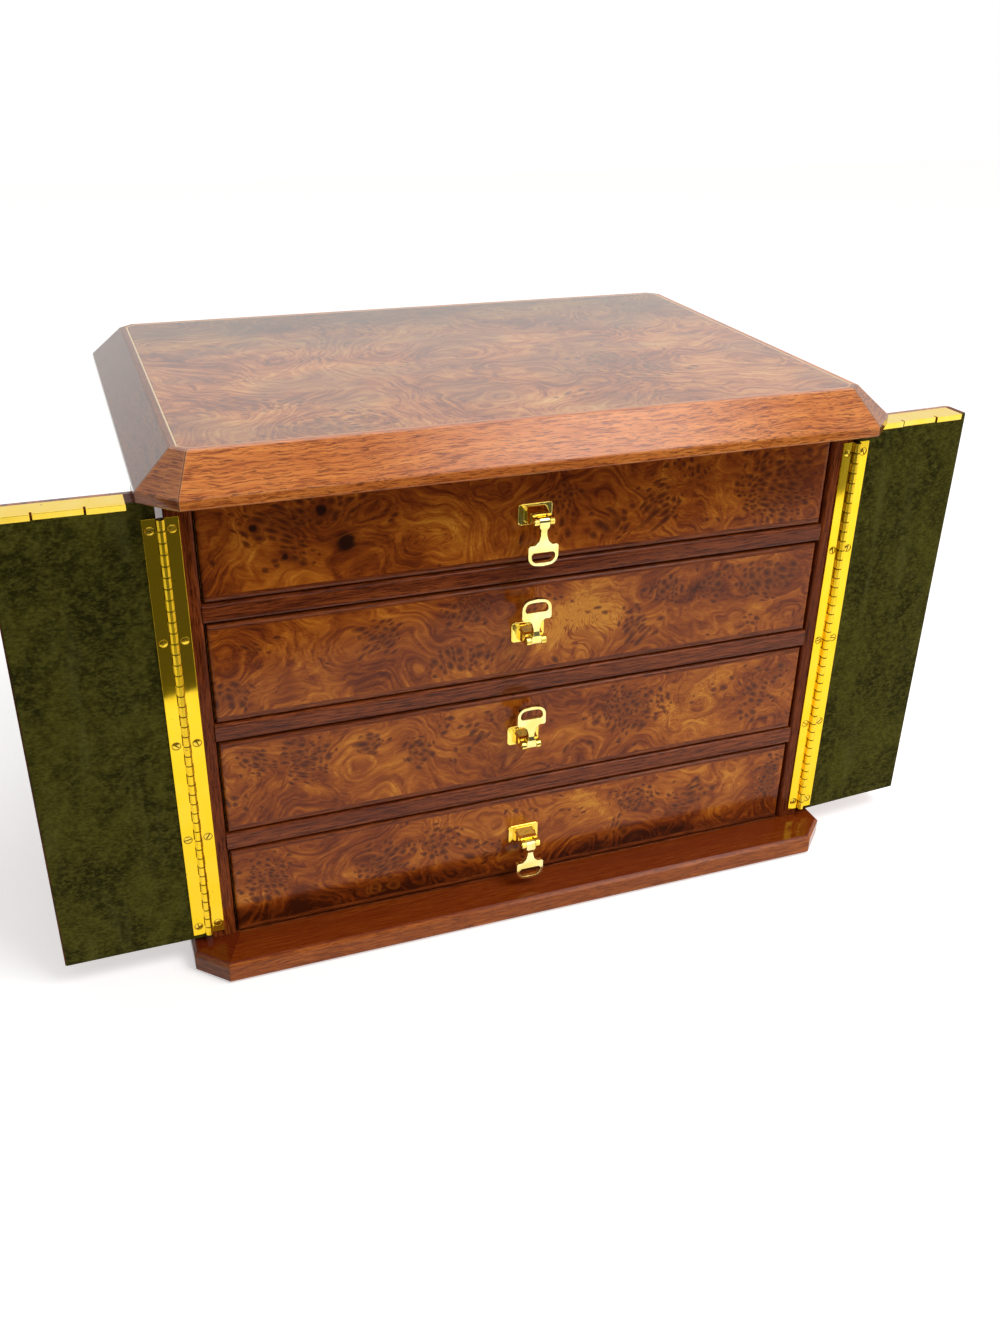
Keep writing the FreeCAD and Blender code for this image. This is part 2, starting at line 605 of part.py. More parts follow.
def hinge_screws(way):
    """The screws of one leaf, their slots each left at its own turn."""
    x = HINGE_AXIS_X + way * SCREW_AT
    top = FACE - LEAF_THICK
    screws = []
    for n, (z, body) in enumerate(zip(screw_levels(), screw_bodies(way))):
        slot = box(x - 3, x + 3, top - 1, top + SCREW_SLOT_DEEP, z - SCREW_SLOT / 2, z + SCREW_SLOT / 2)
        slot.rotate(V(x, top, z), V(0, 1, 0), 37 * n + 38 + 22 * way)
        screws.append(body.cut(slot))
    return screws


# Doors with their hinges, the left one square open and the right one a little further
def doors():
    pieces = door_pieces()
    door_leaf, case_leaf = hinge_leaf(1, 0), hinge_leaf(-1, 1)
    screws = Part.makeCompound(hinge_screws(1))
    moving = dict(pieces, hinge_leaf=door_leaf, hinge_screws=screws)
    axis = V(HINGE_AXIS_X, HINGE_Y, 0)
    for kind, shape in moving.items():
        NODES["door_left_" + kind] = mirror(shape)
        NODES["door_right_" + kind] = shape.rotated(axis, V(0, 0, 1), RIGHT_DOOR_FURTHER)
    pin = Part.makeCylinder(PIN_R, HINGE_LONG, V(HINGE_AXIS_X, HINGE_Y, HINGE_LOW), V(0, 0, 1))
    NODES["case_hinge_leaf_right"] = case_leaf
    NODES["case_hinge_leaf_left"] = mirror(case_leaf)
    NODES["hinge_pins"] = Part.makeCompound([pin, mirror(pin)])
    fixed = Part.makeCompound(hinge_screws(-1))
    NODES["case_hinge_screws"] = Part.makeCompound(fixed.Solids + mirror(fixed).Solids)


plinth()
top()
sides()
shelves()
stops()
for number in range(4):
    drawer(number)
    pull_mount(number)
    NODES["drawer_%d_pull_screw" % (number + 1)] = pull_screw(number)
    stirrup(number)
doors()

os.makedirs("parts", exist_ok=True)
for node, shape in NODES.items():
    shape.exportStep("parts/" + node + ".step")
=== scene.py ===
import bpy
import numpy as np
from mathutils import Matrix, Vector


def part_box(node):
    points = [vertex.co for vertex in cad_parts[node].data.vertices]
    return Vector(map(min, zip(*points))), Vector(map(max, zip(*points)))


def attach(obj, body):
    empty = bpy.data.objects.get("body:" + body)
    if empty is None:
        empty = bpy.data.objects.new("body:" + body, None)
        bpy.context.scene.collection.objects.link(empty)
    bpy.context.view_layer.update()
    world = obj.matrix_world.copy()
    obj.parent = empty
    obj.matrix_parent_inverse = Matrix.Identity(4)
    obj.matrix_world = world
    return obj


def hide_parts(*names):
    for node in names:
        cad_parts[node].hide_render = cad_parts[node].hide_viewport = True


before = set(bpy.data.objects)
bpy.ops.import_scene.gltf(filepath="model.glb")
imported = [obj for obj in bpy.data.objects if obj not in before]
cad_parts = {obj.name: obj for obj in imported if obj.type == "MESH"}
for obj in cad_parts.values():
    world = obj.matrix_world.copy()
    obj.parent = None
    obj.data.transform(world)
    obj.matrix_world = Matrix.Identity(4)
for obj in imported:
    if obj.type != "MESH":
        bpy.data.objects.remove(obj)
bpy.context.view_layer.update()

# Camera. A hand-held view from above and to the left of the front, at about arm's length.
# The picture is 1000 wide and 1333 high, and the lens has no shift.
EYE_AT = (-0.2178, -0.6396, 0.4544)
EYE_TURN = (0.4932, -0.3474, -0.0699)
LENS = 33.48
SENSOR = 36.0


def eye_matrix():
    """The camera's turn, from the axis and angle that take the chest's axes to the picture's."""
    spin = Vector(EYE_TURN)
    to_picture = Matrix.Rotation(spin.length, 3, spin.normalized())
    to_picture = to_picture @ Matrix(((1, 0, 0), (0, 0, -1), (0, 1, 0)))
    return (to_picture.transposed() @ Matrix.Diagonal((1, -1, -1))).to_4x4()


camera_data = bpy.data.cameras.new("camera")
camera_data.lens = LENS
camera_data.sensor_fit = "VERTICAL"
camera_data.sensor_height = SENSOR
camera_data.clip_start = 0.01
camera = bpy.data.objects.new("camera", camera_data)
camera.matrix_world = Matrix.Translation(EYE_AT) @ eye_matrix()
bpy.context.scene.collection.objects.link(camera)
bpy.context.scene.camera = camera


# Plinth. Eight lengths of polished mahogany, mitred and glued round a plain base board.
# The grain runs along each length, and a fine dark line shows at each mitre.
PLINTH_LEG = 15.5
PLINTH_CROWN = 11.9
PLINTH_TONES = ((183, 100, 34), (146, 71, 21), (104, 47, 14))
# Painted shade: a deep red for the top of the ledge, which mirrors the dark chest.
CROWN_PAINTED_SHADE = (94, 12, 0)
# Painted shade for the ring lengths on which less light falls.
PAINTED_SHADE_BROWN = (40, 24, 18)
MITRE_GLUE = (214, 150, 96)
MITRE_LINE = (46, 18, 12)
THIN_LACQUER = {"Specular_IOR_Level": 0.0, "Coat_Weight": 1.0, "Coat_Roughness": 0.14, "Coat_IOR": 1.3}


def paint(red, green, blue):
    """A colour given as 0 to 255 in the picture's own scale, as the shader's linear values."""
    values = np.array((red, green, blue)) / 255.0
    linear = np.where(values <= 0.04045, values / 12.92, ((values + 0.055) / 1.055) ** 2.4)
    return (*linear.tolist(), 1.0)


def add(tree, kind, inputs=None, **settings):
    """A shader node with its settings, its plain values and the sockets that feed it."""
    made = tree.nodes.new(kind)
    for key, value in settings.items():
        setattr(made, key, value)
    for key, value in (inputs or {}).items():
        if isinstance(value, bpy.types.NodeSocket):
            tree.links.new(value, made.inputs[key])
        else:
            made.inputs[key].default_value = value
    return made


def maths(tree, operation, *values):
    """The result of one sum on numbers or sockets."""
    return add(tree, "ShaderNodeMath", dict(enumerate(values)), operation=operation).outputs[0]


def plus(tree, first, second):
    """The sum of two numbers or sockets."""
    return maths(tree, "ADD", first, second)


def minus(tree, first, second):
    """The first number or socket less the second."""
    return maths(tree, "SUBTRACT", first, second)


def times(tree, first, second):
    """The product of two numbers or sockets."""
    return maths(tree, "MULTIPLY", first, second)


def times_plus(tree, first, second, third):
    """The product of the first two, and the third added to it."""
    return maths(tree, "MULTIPLY_ADD", first, second, third)


def without_sign(tree, value):
    """A number without its sign."""
    return maths(tree, "ABSOLUTE", value)


def larger(tree, first, second):
    """The larger of two numbers or sockets."""
    return maths(tree, "MAXIMUM", first, second)


def split(tree, vector):
    """The three numbers of a vector."""
    return add(tree, "ShaderNodeSeparateXYZ", {0: vector}).outputs


def join(tree, first, second, third=0.0):
    """A vector made of three numbers or sockets."""
    return add(tree, "ShaderNodeCombineXYZ", {0: first, 1: second, 2: third}).outputs[0]


def moved(tree, vector, shift):
    """A vector with another added to it."""
    return add(tree, "ShaderNodeVectorMath", {0: vector, 1: shift}, operation="ADD").outputs[0]


def stretch(tree, vector, factors, shift=(0.0, 0.0, 0.0)):
    """A vector moved, and then scaled along each axis."""
    inputs = {0: moved(tree, vector, shift), 1: factors}
    return add(tree, "ShaderNodeVectorMath", inputs, operation="MULTIPLY").outputs[0]


def length(tree, vector):
    """How long a vector is."""
    return add(tree, "ShaderNodeVectorMath", {0: vector}, operation="LENGTH").outputs["Value"]


def span(tree, value, low, high, to_low=0.0, to_high=1.0):
    """A number carried smoothly from one range to another, and held at the ends."""
    made = add(tree, "ShaderNodeMapRange", {0: value, 1: low, 2: high, 3: to_low, 4: to_high})
    made.interpolation_type = "SMOOTHSTEP"
    return made.outputs[0]


def blend_colours(tree, share, under, over, blend_type="MIX"):
    """One colour laid over another by a share from 0 to 1."""
    made = add(tree, "ShaderNodeMix", data_type="RGBA", blend_type=blend_type, clamp_factor=True)
    for index, value in ((0, share), (6, under), (7, over)):
        if isinstance(value, bpy.types.NodeSocket):
            tree.links.new(value, made.inputs[index])
        else:
            made.inputs[index].default_value = value
    return made.outputs[2]


def speckle(tree, vector, turns, detail=2.0, rough=0.5, warp=0.0, give="Fac"):
    """Soft random shading about a half, with so many turns per millimetre along each axis."""
    inputs = {"Vector": stretch(tree, vector, turns), "Scale": 1.0, "Detail": detail, "Roughness": rough,
              "Distortion": warp}
    return add(tree, "ShaderNodeTexNoise", inputs).outputs[give]


def new_finish(name):
    """An empty material, its tree and the object coordinates in millimetres."""
    made = bpy.data.materials.new(name)
    made.use_nodes = True
    tree = made.node_tree
    tree.nodes.clear()
    place = add(tree, "ShaderNodeTexCoord").outputs["Object"]
    millimetres = add(tree, "ShaderNodeVectorMath", {0: place, 1: (1000.0,) * 3}, operation="MULTIPLY")
    return made, tree, millimetres.outputs[0]


def close_finish(tree, colour, rough, bump=None, bump_depth=0.0001, ease=0.0, **more):
    """The surface shader of a material: its colour, gloss and fine relief. ease is the radius over which
    the light runs round an edge, as it does on a sanded arris."""
    inputs = {"Base Color": colour, "Roughness": rough}
    inputs.update({key.replace("_", " "): value for key, value in more.items()})
    shader = add(tree, "ShaderNodeBsdfPrincipled", inputs)
    normal = None
    if ease:
        normal = add(tree, "ShaderNodeBevel", {"Radius": ease}, samples=6).outputs[0]
        tree.links.new(normal, shader.inputs["Coat Normal"])
    if bump is not None:
        relief = {"Height": bump, "Distance": bump_depth, "Strength": 1.0}
        if normal:
            relief["Normal"] = normal
        normal = add(tree, "ShaderNodeBump", relief).outputs[0]
    if normal:
        tree.links.new(normal, shader.inputs["Normal"])
    add(tree, "ShaderNodeOutputMaterial", {0: shader.outputs[0]})


# Turns per millimetre along, across and into the wood, for each mark of the grain.
WANDER_TURNS = (0.012, 0.03, 0.03)
WAVE_TURNS = (0.16, 0.05, 0.05)
STREAK_TURNS = (0.05, 1.0, 1.0)
RIBBON_TURNS = (0.008, 0.10, 0.10)
PORE_TURNS = (0.13, 2.6, 2.6)
WANDER_REACH = 9.0


def mahogany_colour(tree, along, across, depth, tones, ripple=0.0):
    """Straight grain: fine streaks that run far along the wood, broad ribbon bands, and short dark pores.
    A ripple leans the streaks to and fro along their length, by so many millimetres."""
    light, middle, dark = (paint(*tone) for tone in tones)
    board = join(tree, along, across, depth)
    wander = speckle(tree, board, WANDER_TURNS)
    wave = speckle(tree, board, WAVE_TURNS, 1.0)
    shift = times_plus(tree, wander, WANDER_REACH, times(tree, wave, ripple))
    bent = join(tree, along, plus(tree, across, shift), depth)
    streaks = speckle(tree, bent, STREAK_TURNS, 4.0, 0.62)
    ribbon = speckle(tree, bent, RIBBON_TURNS)
    pores = speckle(tree, bent, PORE_TURNS, 3.0, 0.6)
    colour = blend_colours(tree, span(tree, streaks, 0.36, 0.64), middle, light)
    colour = blend_colours(tree, span(tree, ribbon, 0.40, 0.64, 0.0, 0.55), colour, middle)
    colour = blend_colours(tree, span(tree, streaks, 0.46, 0.30, 0.0, 0.6), colour, dark)
    marks = span(tree, pores, 0.52, 0.62, 0.0, 0.75)
    return blend_colours(tree, marks, colour, dark), marks


# How far the grain of the side lengths and of the cants is moved, so that no figure runs round a corner,
# and how the place across a length grows with the distance from its face and with the height.
SIDE_LENGTHS_AT = 70.0
CANTS_AT = 500.0
CANT_SHARE = 0.7
ACROSS_OUT = 1.4
ACROSS_UP = 0.55


def ring_lengths(tree, x, y, z, node, leg):
    """Which length of an eight-sided ring a point belongs to: the one whose outer face is nearest. From the
    middle of the ring, the point is |x| - half width past a side's face, |y| - half depth past the front's
    or the back's, and (|x| + |y| - half width - half depth + leg) / sqrt 2 past a cant's. Gives the place
    along and across that length, a number that is 1 on a side length, one that is 1 on a cant, and the gap
    between the cant's face and the nearer straight one, which is 0 at a mitre."""
    low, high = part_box(node)
    half_w = (high.x - low.x) / 2 * 1000
    half_d = (high.y - low.y) / 2 * 1000
    y = minus(tree, y, (low.y + high.y) / 2 * 1000)
    out_x = without_sign(tree, x)
    out_y = without_sign(tree, y)
    front = minus(tree, out_y, half_d)
    side = minus(tree, out_x, half_w)
    cant = times(tree, minus(tree, plus(tree, out_x, out_y), half_w + half_d - leg), 0.5 ** 0.5)
    straight = larger(tree, front, side)
    sideways = maths(tree, "GREATER_THAN", side, front)
    on_cant = maths(tree, "GREATER_THAN", cant, straight)
    off_cant = minus(tree, 1.0, on_cant)
    along = plus(tree, times(tree, y, sideways), times(tree, x, minus(tree, 1.0, sideways)))
    along_cant = times_plus(tree, minus(tree, out_x, out_y), CANT_SHARE, CANTS_AT)
    along = plus(tree, times(tree, along, off_cant), times(tree, along_cant, on_cant))
    across = times(tree, larger(tree, straight, cant), ACROSS_OUT)
    across = plus(tree, across, times(tree, z, ACROSS_UP))
    across = times_plus(tree, sideways, SIDE_LENGTHS_AT, across)
    gap = without_sign(tree, minus(tree, cant, straight))
    return along, across, times(tree, sideways, off_cant), on_cant, gap


def ring_mahogany(name, node, leg, tones, coat, ripple, line, glue=0.0, left_side_shade=0.0, left_cants_shade=0.0,
                  right_cants_shade=0.0, crown=None):
    """Mahogany round an eight-sided ring, its grain along each length. line and glue give how strong the
    dark line at a mitre and the pale edge beside it are. The shares for the left side, the left cants and
    the right cants give how much painted shade darkens those lengths, where less light falls on them, and
    above the height crown a deeper red is painted as shade, for the dark chest that the ledge's top mirrors."""
    made, tree, place = new_finish(name)
    x, y, z = split(tree, place)
    along, across, on_side, on_cant, gap = ring_lengths(tree, x, y, z, node, leg)
    colour, marks = mahogany_colour(tree, along, across, times(tree, z, 0.5), tones, ripple)
    # Painted shade: the left side lengths and the cants are darkened, as less light falls on them.
    shade = times(tree, on_side, span(tree, x, 0.0, -100.0, 0.0, left_side_shade))
    shade = times_plus(tree, on_cant, span(tree, x, 0.0, -100.0, 0.0, left_cants_shade), shade)
    shade = times_plus(tree, on_cant, span(tree, x, 0.0, 100.0, 0.0, right_cants_shade), shade)
    colour = blend_colours(tree, shade, colour, paint(*PAINTED_SHADE_BROWN))
    if crown:
        # Painted shade: the ledge's top darkens to a deeper red, for the dark chest that it mirrors.
        colour = blend_colours(tree, span(tree, z, crown - 0.6, crown, 0.0, 0.6), colour, paint(*CROWN_PAINTED_SHADE))
    colour = blend_colours(tree, span(tree, gap, 0.25, 0.7, glue, 0.0), colour, paint(*MITRE_GLUE))
    colour = blend_colours(tree, span(tree, gap, 0.06, 0.28, line, 0.0), colour, paint(*MITRE_LINE))
    close_finish(tree, colour, 0.35, marks, -0.00002, ease=0.0007, **coat)
    return made


def finish(node, material):
    """Gives a CAD node its material."""
    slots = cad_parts[node].data.materials
    slots.clear()
    slots.append(material)


# The plinth's left lengths and left cants carry painted shade, and so does the top of its ledge.
plinth_wood = ring_mahogany("plinth mahogany", "plinth_moulding", PLINTH_LEG, PLINTH_TONES, THIN_LACQUER,
                            ripple=0.6, line=0.25, left_side_shade=0.6, left_cants_shade=0.5, crown=PLINTH_CROWN)
finish("plinth_moulding", plinth_wood)


# Case. Mahogany sides and back, and three shelves let into the sides, whose front edges show as rails. The
# grain stands upright on the sides and runs across on the shelves, and all but the inside is lacquered.
# Stop strips of plain wood are glued on the base board and on the shelves.
# Darker than the edging's mahogany: partly the wood, partly painted shade for the rails and sides, which
# stand in shade.
RAIL_TONES = ((148, 73, 31), (102, 43, 16), (46, 16, 6))
INNER_TONES = ((196, 150, 100), (168, 118, 72), (116, 74, 42))
SIDE_COAT = 0.4


def board_mahogany(name, along, across, tones, coat=1.0, ripple=0.0, start=0.0):
    """Mahogany of a plain board, with its grain along one axis and its width along another. coat is the
    share of lacquer on it, none on bare wood, and start moves the figure along the board."""
    made, tree, place = new_finish(name)
    values = dict(zip("xyz", split(tree, place)))
    depth = (set("xyz") - {along, across}).pop()
    far = plus(tree, values[along], start)
    colour, marks = mahogany_colour(tree, far, values[across], values[depth], tones, ripple)
    if coat:
        close_finish(tree, colour, 0.38, marks, -0.00003, ease=0.0008, **dict(THIN_LACQUER, Coat_Weight=coat))
    else:
        close_finish(tree, colour, 0.6, marks, -0.00004, Specular_IOR_Level=0.3)
    return made


side_wood = board_mahogany("side mahogany", "z", "y", RAIL_TONES, SIDE_COAT)
rail_wood = board_mahogany("rail mahogany", "x", "z", RAIL_TONES, ripple=0.8, start=40.0)
inner_wood = board_mahogany("inner wood", "y", "x", INNER_TONES, coat=0.0)
for node in ("case_side_left", "case_side_right", "case_back"):
    finish(node, side_wood)
for node in ("shelf_lower", "shelf_middle", "shelf_upper", "base_board"):
    finish(node, rail_wood)
finish("drawer_stops", inner_wood)


# Top. A burl veneered panel inside a fine pale string, edged with bevelled mahogany in eight mitred
# lengths. All of it is glued up, lacquered together and polished flat.
TOP_LEG = 16.4
# Lighter than the case's mahogany: partly the wood, partly painted light for the bevel, which is turned up to
# the light.
EDGING_TONES = ((232, 142, 64), (200, 108, 44), (100, 38, 12))
LACQUER = {"Specular_IOR_Level": 0.0, "Coat_Weight": 1.0, "Coat_Roughness": 0.035, "Coat_IOR": 1.5}
# The edging's left lengths and its cants carry painted shade.
edging_wood = ring_mahogany("edging mahogany", "top_edging", TOP_LEG, EDGING_TONES, LACQUER, ripple=1.6,
                            line=0.8, glue=0.35, left_side_shade=0.65, left_cants_shade=0.33, right_cants_shade=0.45)
finish("top_edging", edging_wood)

# The two bends of the figure, as (turns per millimetre, reach in millimetres); turns per millimetre of the
# marks that lie on it; and two sizes of eye, as (cells per millimetre, reach and core in cells, how dark it
# is).
SLOW_BEND = (0.018, 44.0)
FINE_BEND = (0.07, 6.0)
STRAND_TURNS = (0.024, 0.085, 1.0)
THREAD_TURNS = (0.14, 0.75, 1.0)
PATCH_TURNS = (0.018, 0.026, 1.0)
CONTOUR_TURNS = (0.020, 0.030, 1.0)
SCATTER_TURNS = (0.035, 0.04, 1.0)
CONTOUR_LINES = 150.0
EYES = ((0.26, 0.44, 0.10, 0.60), (0.15, 0.36, 0.06, 0.70))
HAZE = (98, 44, 20)
EYE = (58, 24, 12)
KNOT = (26, 9, 6)


def bend(tree, flat, turns, reach, swirl):
    """A place pushed to and fro by noise, and the push. swirl makes the bends wider and longer alike."""
    push = speckle(tree, flat, (turns / swirl,) * 3, 1.0, give="Color")
    push = stretch(tree, push, (reach * swirl,) * 3, (-0.5,) * 3)
    return moved(tree, flat, push), push


def away_from(tree, flat, x, other, factors):
    """How far a point is from the middle (x, other), with each axis scaled."""
    return length(tree, stretch(tree, flat, factors, (-x, -other, 0.0)))


def soft_spots(tree, flat, spots):
    """The sum of soft round spots (x, other axis, half width, half height, strength), each full within 0.15
    of its half width and nothing past 1.25 of it."""
    total = 0.0
    for x, other, wide, high, strength in spots:
        far = away_from(tree, flat, x, other, (1 / wide, 1 / high, 0.0))
        total = plus(tree, total, span(tree, far, 1.25, 0.15, 0.0, strength))
    return total


def burl_eyes(tree, colour, slow, threads, crowd, halo_tones, eye_tone):
    """Small dark eyes, each in a cell of its own with a pale and a red ring round it. A cell has its eye
    where its random number is under the local density, crowd."""
    pale, red = halo_tones
    for size, reach, core, depth in EYES:
        inputs = {"Vector": stretch(tree, slow, (size, size * 1.15, 0.0)), "Scale": 1.0, "Randomness": 0.95}
        cells = add(tree, "ShaderNodeTexVoronoi", inputs, voronoi_dimensions="2D")
        chance = split(tree, cells.outputs["Color"])[0]
        present = maths(tree, "LESS_THAN", chance, times(tree, crowd, 1.1))
        edge = minus(tree, times_plus(tree, threads, 0.16, cells.outputs["Distance"]), 0.08)
        layers = ((reach + 0.20, reach + 0.02, 0.25, pale), (reach + 0.08, reach - 0.05, 0.6, red),
                  (reach, core, depth, eye_tone))
        for outer, inner, share, tone in layers:
            part = times(tree, span(tree, edge, outer, inner, 0.0, share), present)
            colour = blend_colours(tree, part, colour, tone)
    return colour


def burl_colour(tree, flat, tones, clusters=(), golds=(), knots=(), rings=(), swirl=1.0, loose=0.3,
                ripple=0.10, haze=HAZE, eye=EYE):
    """Burl veneer. Two layers of noise bend the place. On the bent place stretched noises give the strands
    and the threads in them, and contour lines of a slow noise give the ripples in the gold. The clusters
    are soft spots of dark eyes, over a loose scatter; the golds are plain bright patches, or deep ones
    where the strength is negative; the knots are (x, other axis, radius), and the rings (x, other axis,
    spacing, reach, strength). Gives the colour and the threads, which are also its relief."""
    gold, amber, brown, red, dark = (paint(*tone) for tone in tones)
    slow, push = bend(tree, flat, *SLOW_BEND, swirl)
    bent, push = bend(tree, slow, *FINE_BEND, swirl)
    strands = speckle(tree, bent, STRAND_TURNS, 4.0)
    threads = speckle(tree, bent, THREAD_TURNS, 3.0, 0.6)
    patches = speckle(tree, flat, PATCH_TURNS, 3.0, 0.55, 0.4)
    contours = times_plus(tree, threads, 0.010, speckle(tree, slow, CONTOUR_TURNS, 1.0))
    lines = maths(tree, "SINE", times(tree, contours, CONTOUR_LINES))
    bright = soft_spots(tree, flat, golds)
    scattered = speckle(tree, flat, SCATTER_TURNS)
    crowd = plus(tree, soft_spots(tree, flat, clusters), span(tree, scattered, 0.52, 0.75, 0.0, loose))
    tone = 0.54
    for part, share in ((strands, 0.95), (patches, 0.9), (threads, 0.40)):
        tone = times_plus(tree, minus(tree, part, 0.5), share, tone)
    tone = times_plus(tree, bright, 0.12, tone)
    tone = times_plus(tree, crowd, -0.08, tone)
    rippled = times_plus(tree, larger(tree, bright, 0.0), ripple, 0.3 * ripple)
    tone = minus(tree, tone, times(tree, span(tree, lines, 0.1, 0.95), rippled))
    for x, other, spacing, reach, strength in rings:
        pushed = moved(tree, flat, stretch(tree, push, (1.4, 1.4, 0.0)))
        far = away_from(tree, pushed, x, other, (0.8, 1.0, 0.0))
        wave = maths(tree, "SINE", times(tree, far, 2 * np.pi / spacing))
        tone = times_plus(tree, wave, span(tree, far, reach, 0.4 * reach, 0.0, strength), tone)
    ramp = add(tree, "ShaderNodeValToRGB", {0: tone})
    stops = ramp.color_ramp.elements
    stops[0].position, stops[0].color = 0.10, dark
    stops[1].position, stops[1].color = 0.92, gold
    for share, shade in ((0.34, red), (0.52, brown), (0.70, amber)):
        stops.new(share).color = shade
    colour = blend_colours(tree, span(tree, crowd, 0.35, 1.1, 0.0, 0.30), ramp.outputs[0], paint(*haze))
    colour = burl_eyes(tree, colour, slow, threads, crowd, (amber, red), paint(*eye))
    for x, other, radius in knots:
        far = away_from(tree, flat, x, other, (1 / radius, 1 / radius, 0.0))
        far = plus(tree, far, times_plus(tree, strands, 0.8, -0.4))
        colour = blend_colours(tree, span(tree, far, 1.7, 0.9, 0.0, 0.5), colour, red)
        colour = blend_colours(tree, span(tree, far, 0.95, 0.35, 0.0, 0.9), colour, paint(*KNOT))
    return colour, threads


TOP_TONES = ((228, 174, 104), (208, 140, 76), (180, 108, 60), (140, 78, 48), (92, 54, 38))
TOP_HAZE = (120, 74, 54)
TOP_EYE = (100, 62, 46)
TOP_GREY = (120, 96, 78)
# Painted shade for the back of the top.
TOP_BACK_PAINTED_SHADE = (0.50, 0.56, 0.52, 1.0)
TOP_CLUSTERS = (
    (-130, -62, 30, 16, 0.5), (-92, -98, 30, 18, 0.5), (70, -50, 36, 40, 0.4), (-60, 90, 50, 24, 0.3),
)
TOP_GOLDS = (
    (-10, -92, 45, 34, 0.6), (105, -10, 55, 16, 0.8), (-90, 30, 40, 30, 0.4), (-120, -75, 14, 10, 0.8),
)
TOP_RING = (-83, -98, 6.5, 24, 0.10)
STRING_TONES = ((240, 214, 166), (222, 186, 130))
STRING_FRONT = (196, 120, 68)
VENEER_RELIEF = 0.000006


def top_burl():
    """The burl of the top: wider figure and paler tones than the fronts', greyed in patches, and with painted
    shade that makes it darker and cooler towards the back, where less light falls."""
    made, tree, place = new_finish("top burl")
    x, y, z = split(tree, place)
    colour, threads = burl_colour(tree, join(tree, x, y, 3.0), TOP_TONES, TOP_CLUSTERS, TOP_GOLDS,
                                  rings=[TOP_RING], swirl=1.6, loose=0.1, ripple=0.04, haze=TOP_HAZE,
                                  eye=TOP_EYE)
    grey = speckle(tree, place, (0.02, 0.026, 0.02))
    colour = blend_colours(tree, span(tree, grey, 0.44, 0.62, 0.0, 0.35), colour, paint(*TOP_GREY))
    # Painted shade: darker and cooler towards the back, where less of the lamp's light falls.
    colour = blend_colours(tree, span(tree, y, 0.0, 110.0), colour, TOP_BACK_PAINTED_SHADE, "MULTIPLY")
    close_finish(tree, colour, 0.4, threads, VENEER_RELIEF, ease=0.0007, **LACQUER)
    return made


def pale_string():
    """The inlaid string: pale wood of a fine grain, darker along the front."""
    made, tree, place = new_finish("pale string")
    light, dark = (paint(*tone) for tone in STRING_TONES)
    tone = blend_colours(tree, speckle(tree, place, (0.3, 0.3, 0.3), 3.0), dark, light)
    front = span(tree, split(tree, place)[1], -112.0, -114.0, 0.0, 0.75)
    close_finish(tree, blend_colours(tree, front, tone, paint(*STRING_FRONT)), 0.4, **LACQUER)
    return made


finish("top_panel", top_burl())
finish("top_inlay", pale_string())


# Drawers. Each front is burl veneer on a solid board with softened edges, rebated over the sides of a plain
# box whose bottom is grooved in. The dark eyes, bright patches and knots lie where they do on each front:
# their places are counted from its middle, and from its top edge downwards.
BURL = ((216, 142, 44), (186, 104, 28), (154, 76, 17), (118, 50, 11), (62, 23, 7))
LIPPING = ((150, 76, 30), (112, 50, 20), (56, 22, 10))
LIP_TOP = 2.6
LIP_FOOT = 3.6
CLUSTERS = {
    4: ((-128, 20, 18, 12, 0.9), (-107, 15, 17, 8, 1.0), (-123, 37, 13, 7, 0.8), (13, 27, 12, 17, 0.6),
        (40, 39, 15, 12, 0.8), (65, 32, 15, 17, 0.8), (135, 30, 26, 22, 1.2), (88, 15, 13, 7, 0.5)),
    3: ((-83, 19, 14, 12, 0.9), (-38, 13, 18, 8, 0.9), (-40, 38, 20, 10, 0.9), (-155, 39, 12, 8, 0.8),
        (57, 31, 10, 13, 1.0), (75, 14, 14, 9, 0.9), (102, 16, 11, 11, 1.0), (137, 18, 20, 13, 1.2),
        (128, 43, 9, 5, 0.6)),
    2: ((-122, 17, 15, 14, 0.9), (-148, 13, 10, 8, 0.9), (-90, 14, 8, 8, 1.4), (-63, 25, 10, 10, 1.3),
        (-25, 20, 16, 16, 0.4), (58, 20, 25, 17, 1.0), (28, 39, 12, 6, 0.7), (142, 20, 21, 17, 0.7)),
    1: ((-147, 21, 17, 17, 0.8), (-82, 28, 18, 17, 0.9), (-52, 21, 15, 13, 0.9), (-90, 43, 8, 5, 1.0),
        (-28, 31, 17, 13, 0.5), (65, 18, 15, 11, 0.9), (102, 21, 15, 13, 0.9), (55, 35, 10, 8, 0.7),
        (155, 21, 10, 20, 0.8)),
}
GOLDS = {
    4: ((-50, 32, 34, 20, 1.2), (102, 33, 14, 20, 1.1), (-148, 30, 7, 22, 0.6), (-163, 30, 12, 40, -1.5),
        (60, 30, 30, 20, 0.9), (153, 30, 22, 36, -1.0)),
    3: ((-115, 23, 14, 22, 0.7), (30, 26, 30, 26, 3.2), (-150, 26, 26, 30, -0.9), (153, 26, 22, 32, -1.6),
        (-75, 40, 30, 12, -0.6)),
    2: ((-45, 23, 15, 13, 0.9), (98, 24, 30, 24, 2.2), (-130, 45, 40, 8, -0.6)),
    1: ((-102, 23, 13, 20, 0.8), (35, 18, 17, 17, 1.0), (128, 18, 13, 17, 0.9), (-100, 47, 110, 14, -3.4),
        (70, 48, 90, 12, -2.8), (152, 26, 20, 30, -0.9)),
}
KNOTS = {4: ((-96.7, 32, 6.5), (-108, 15, 4.5), (-140, 20, 2.6), (-126, 36, 2.6))}


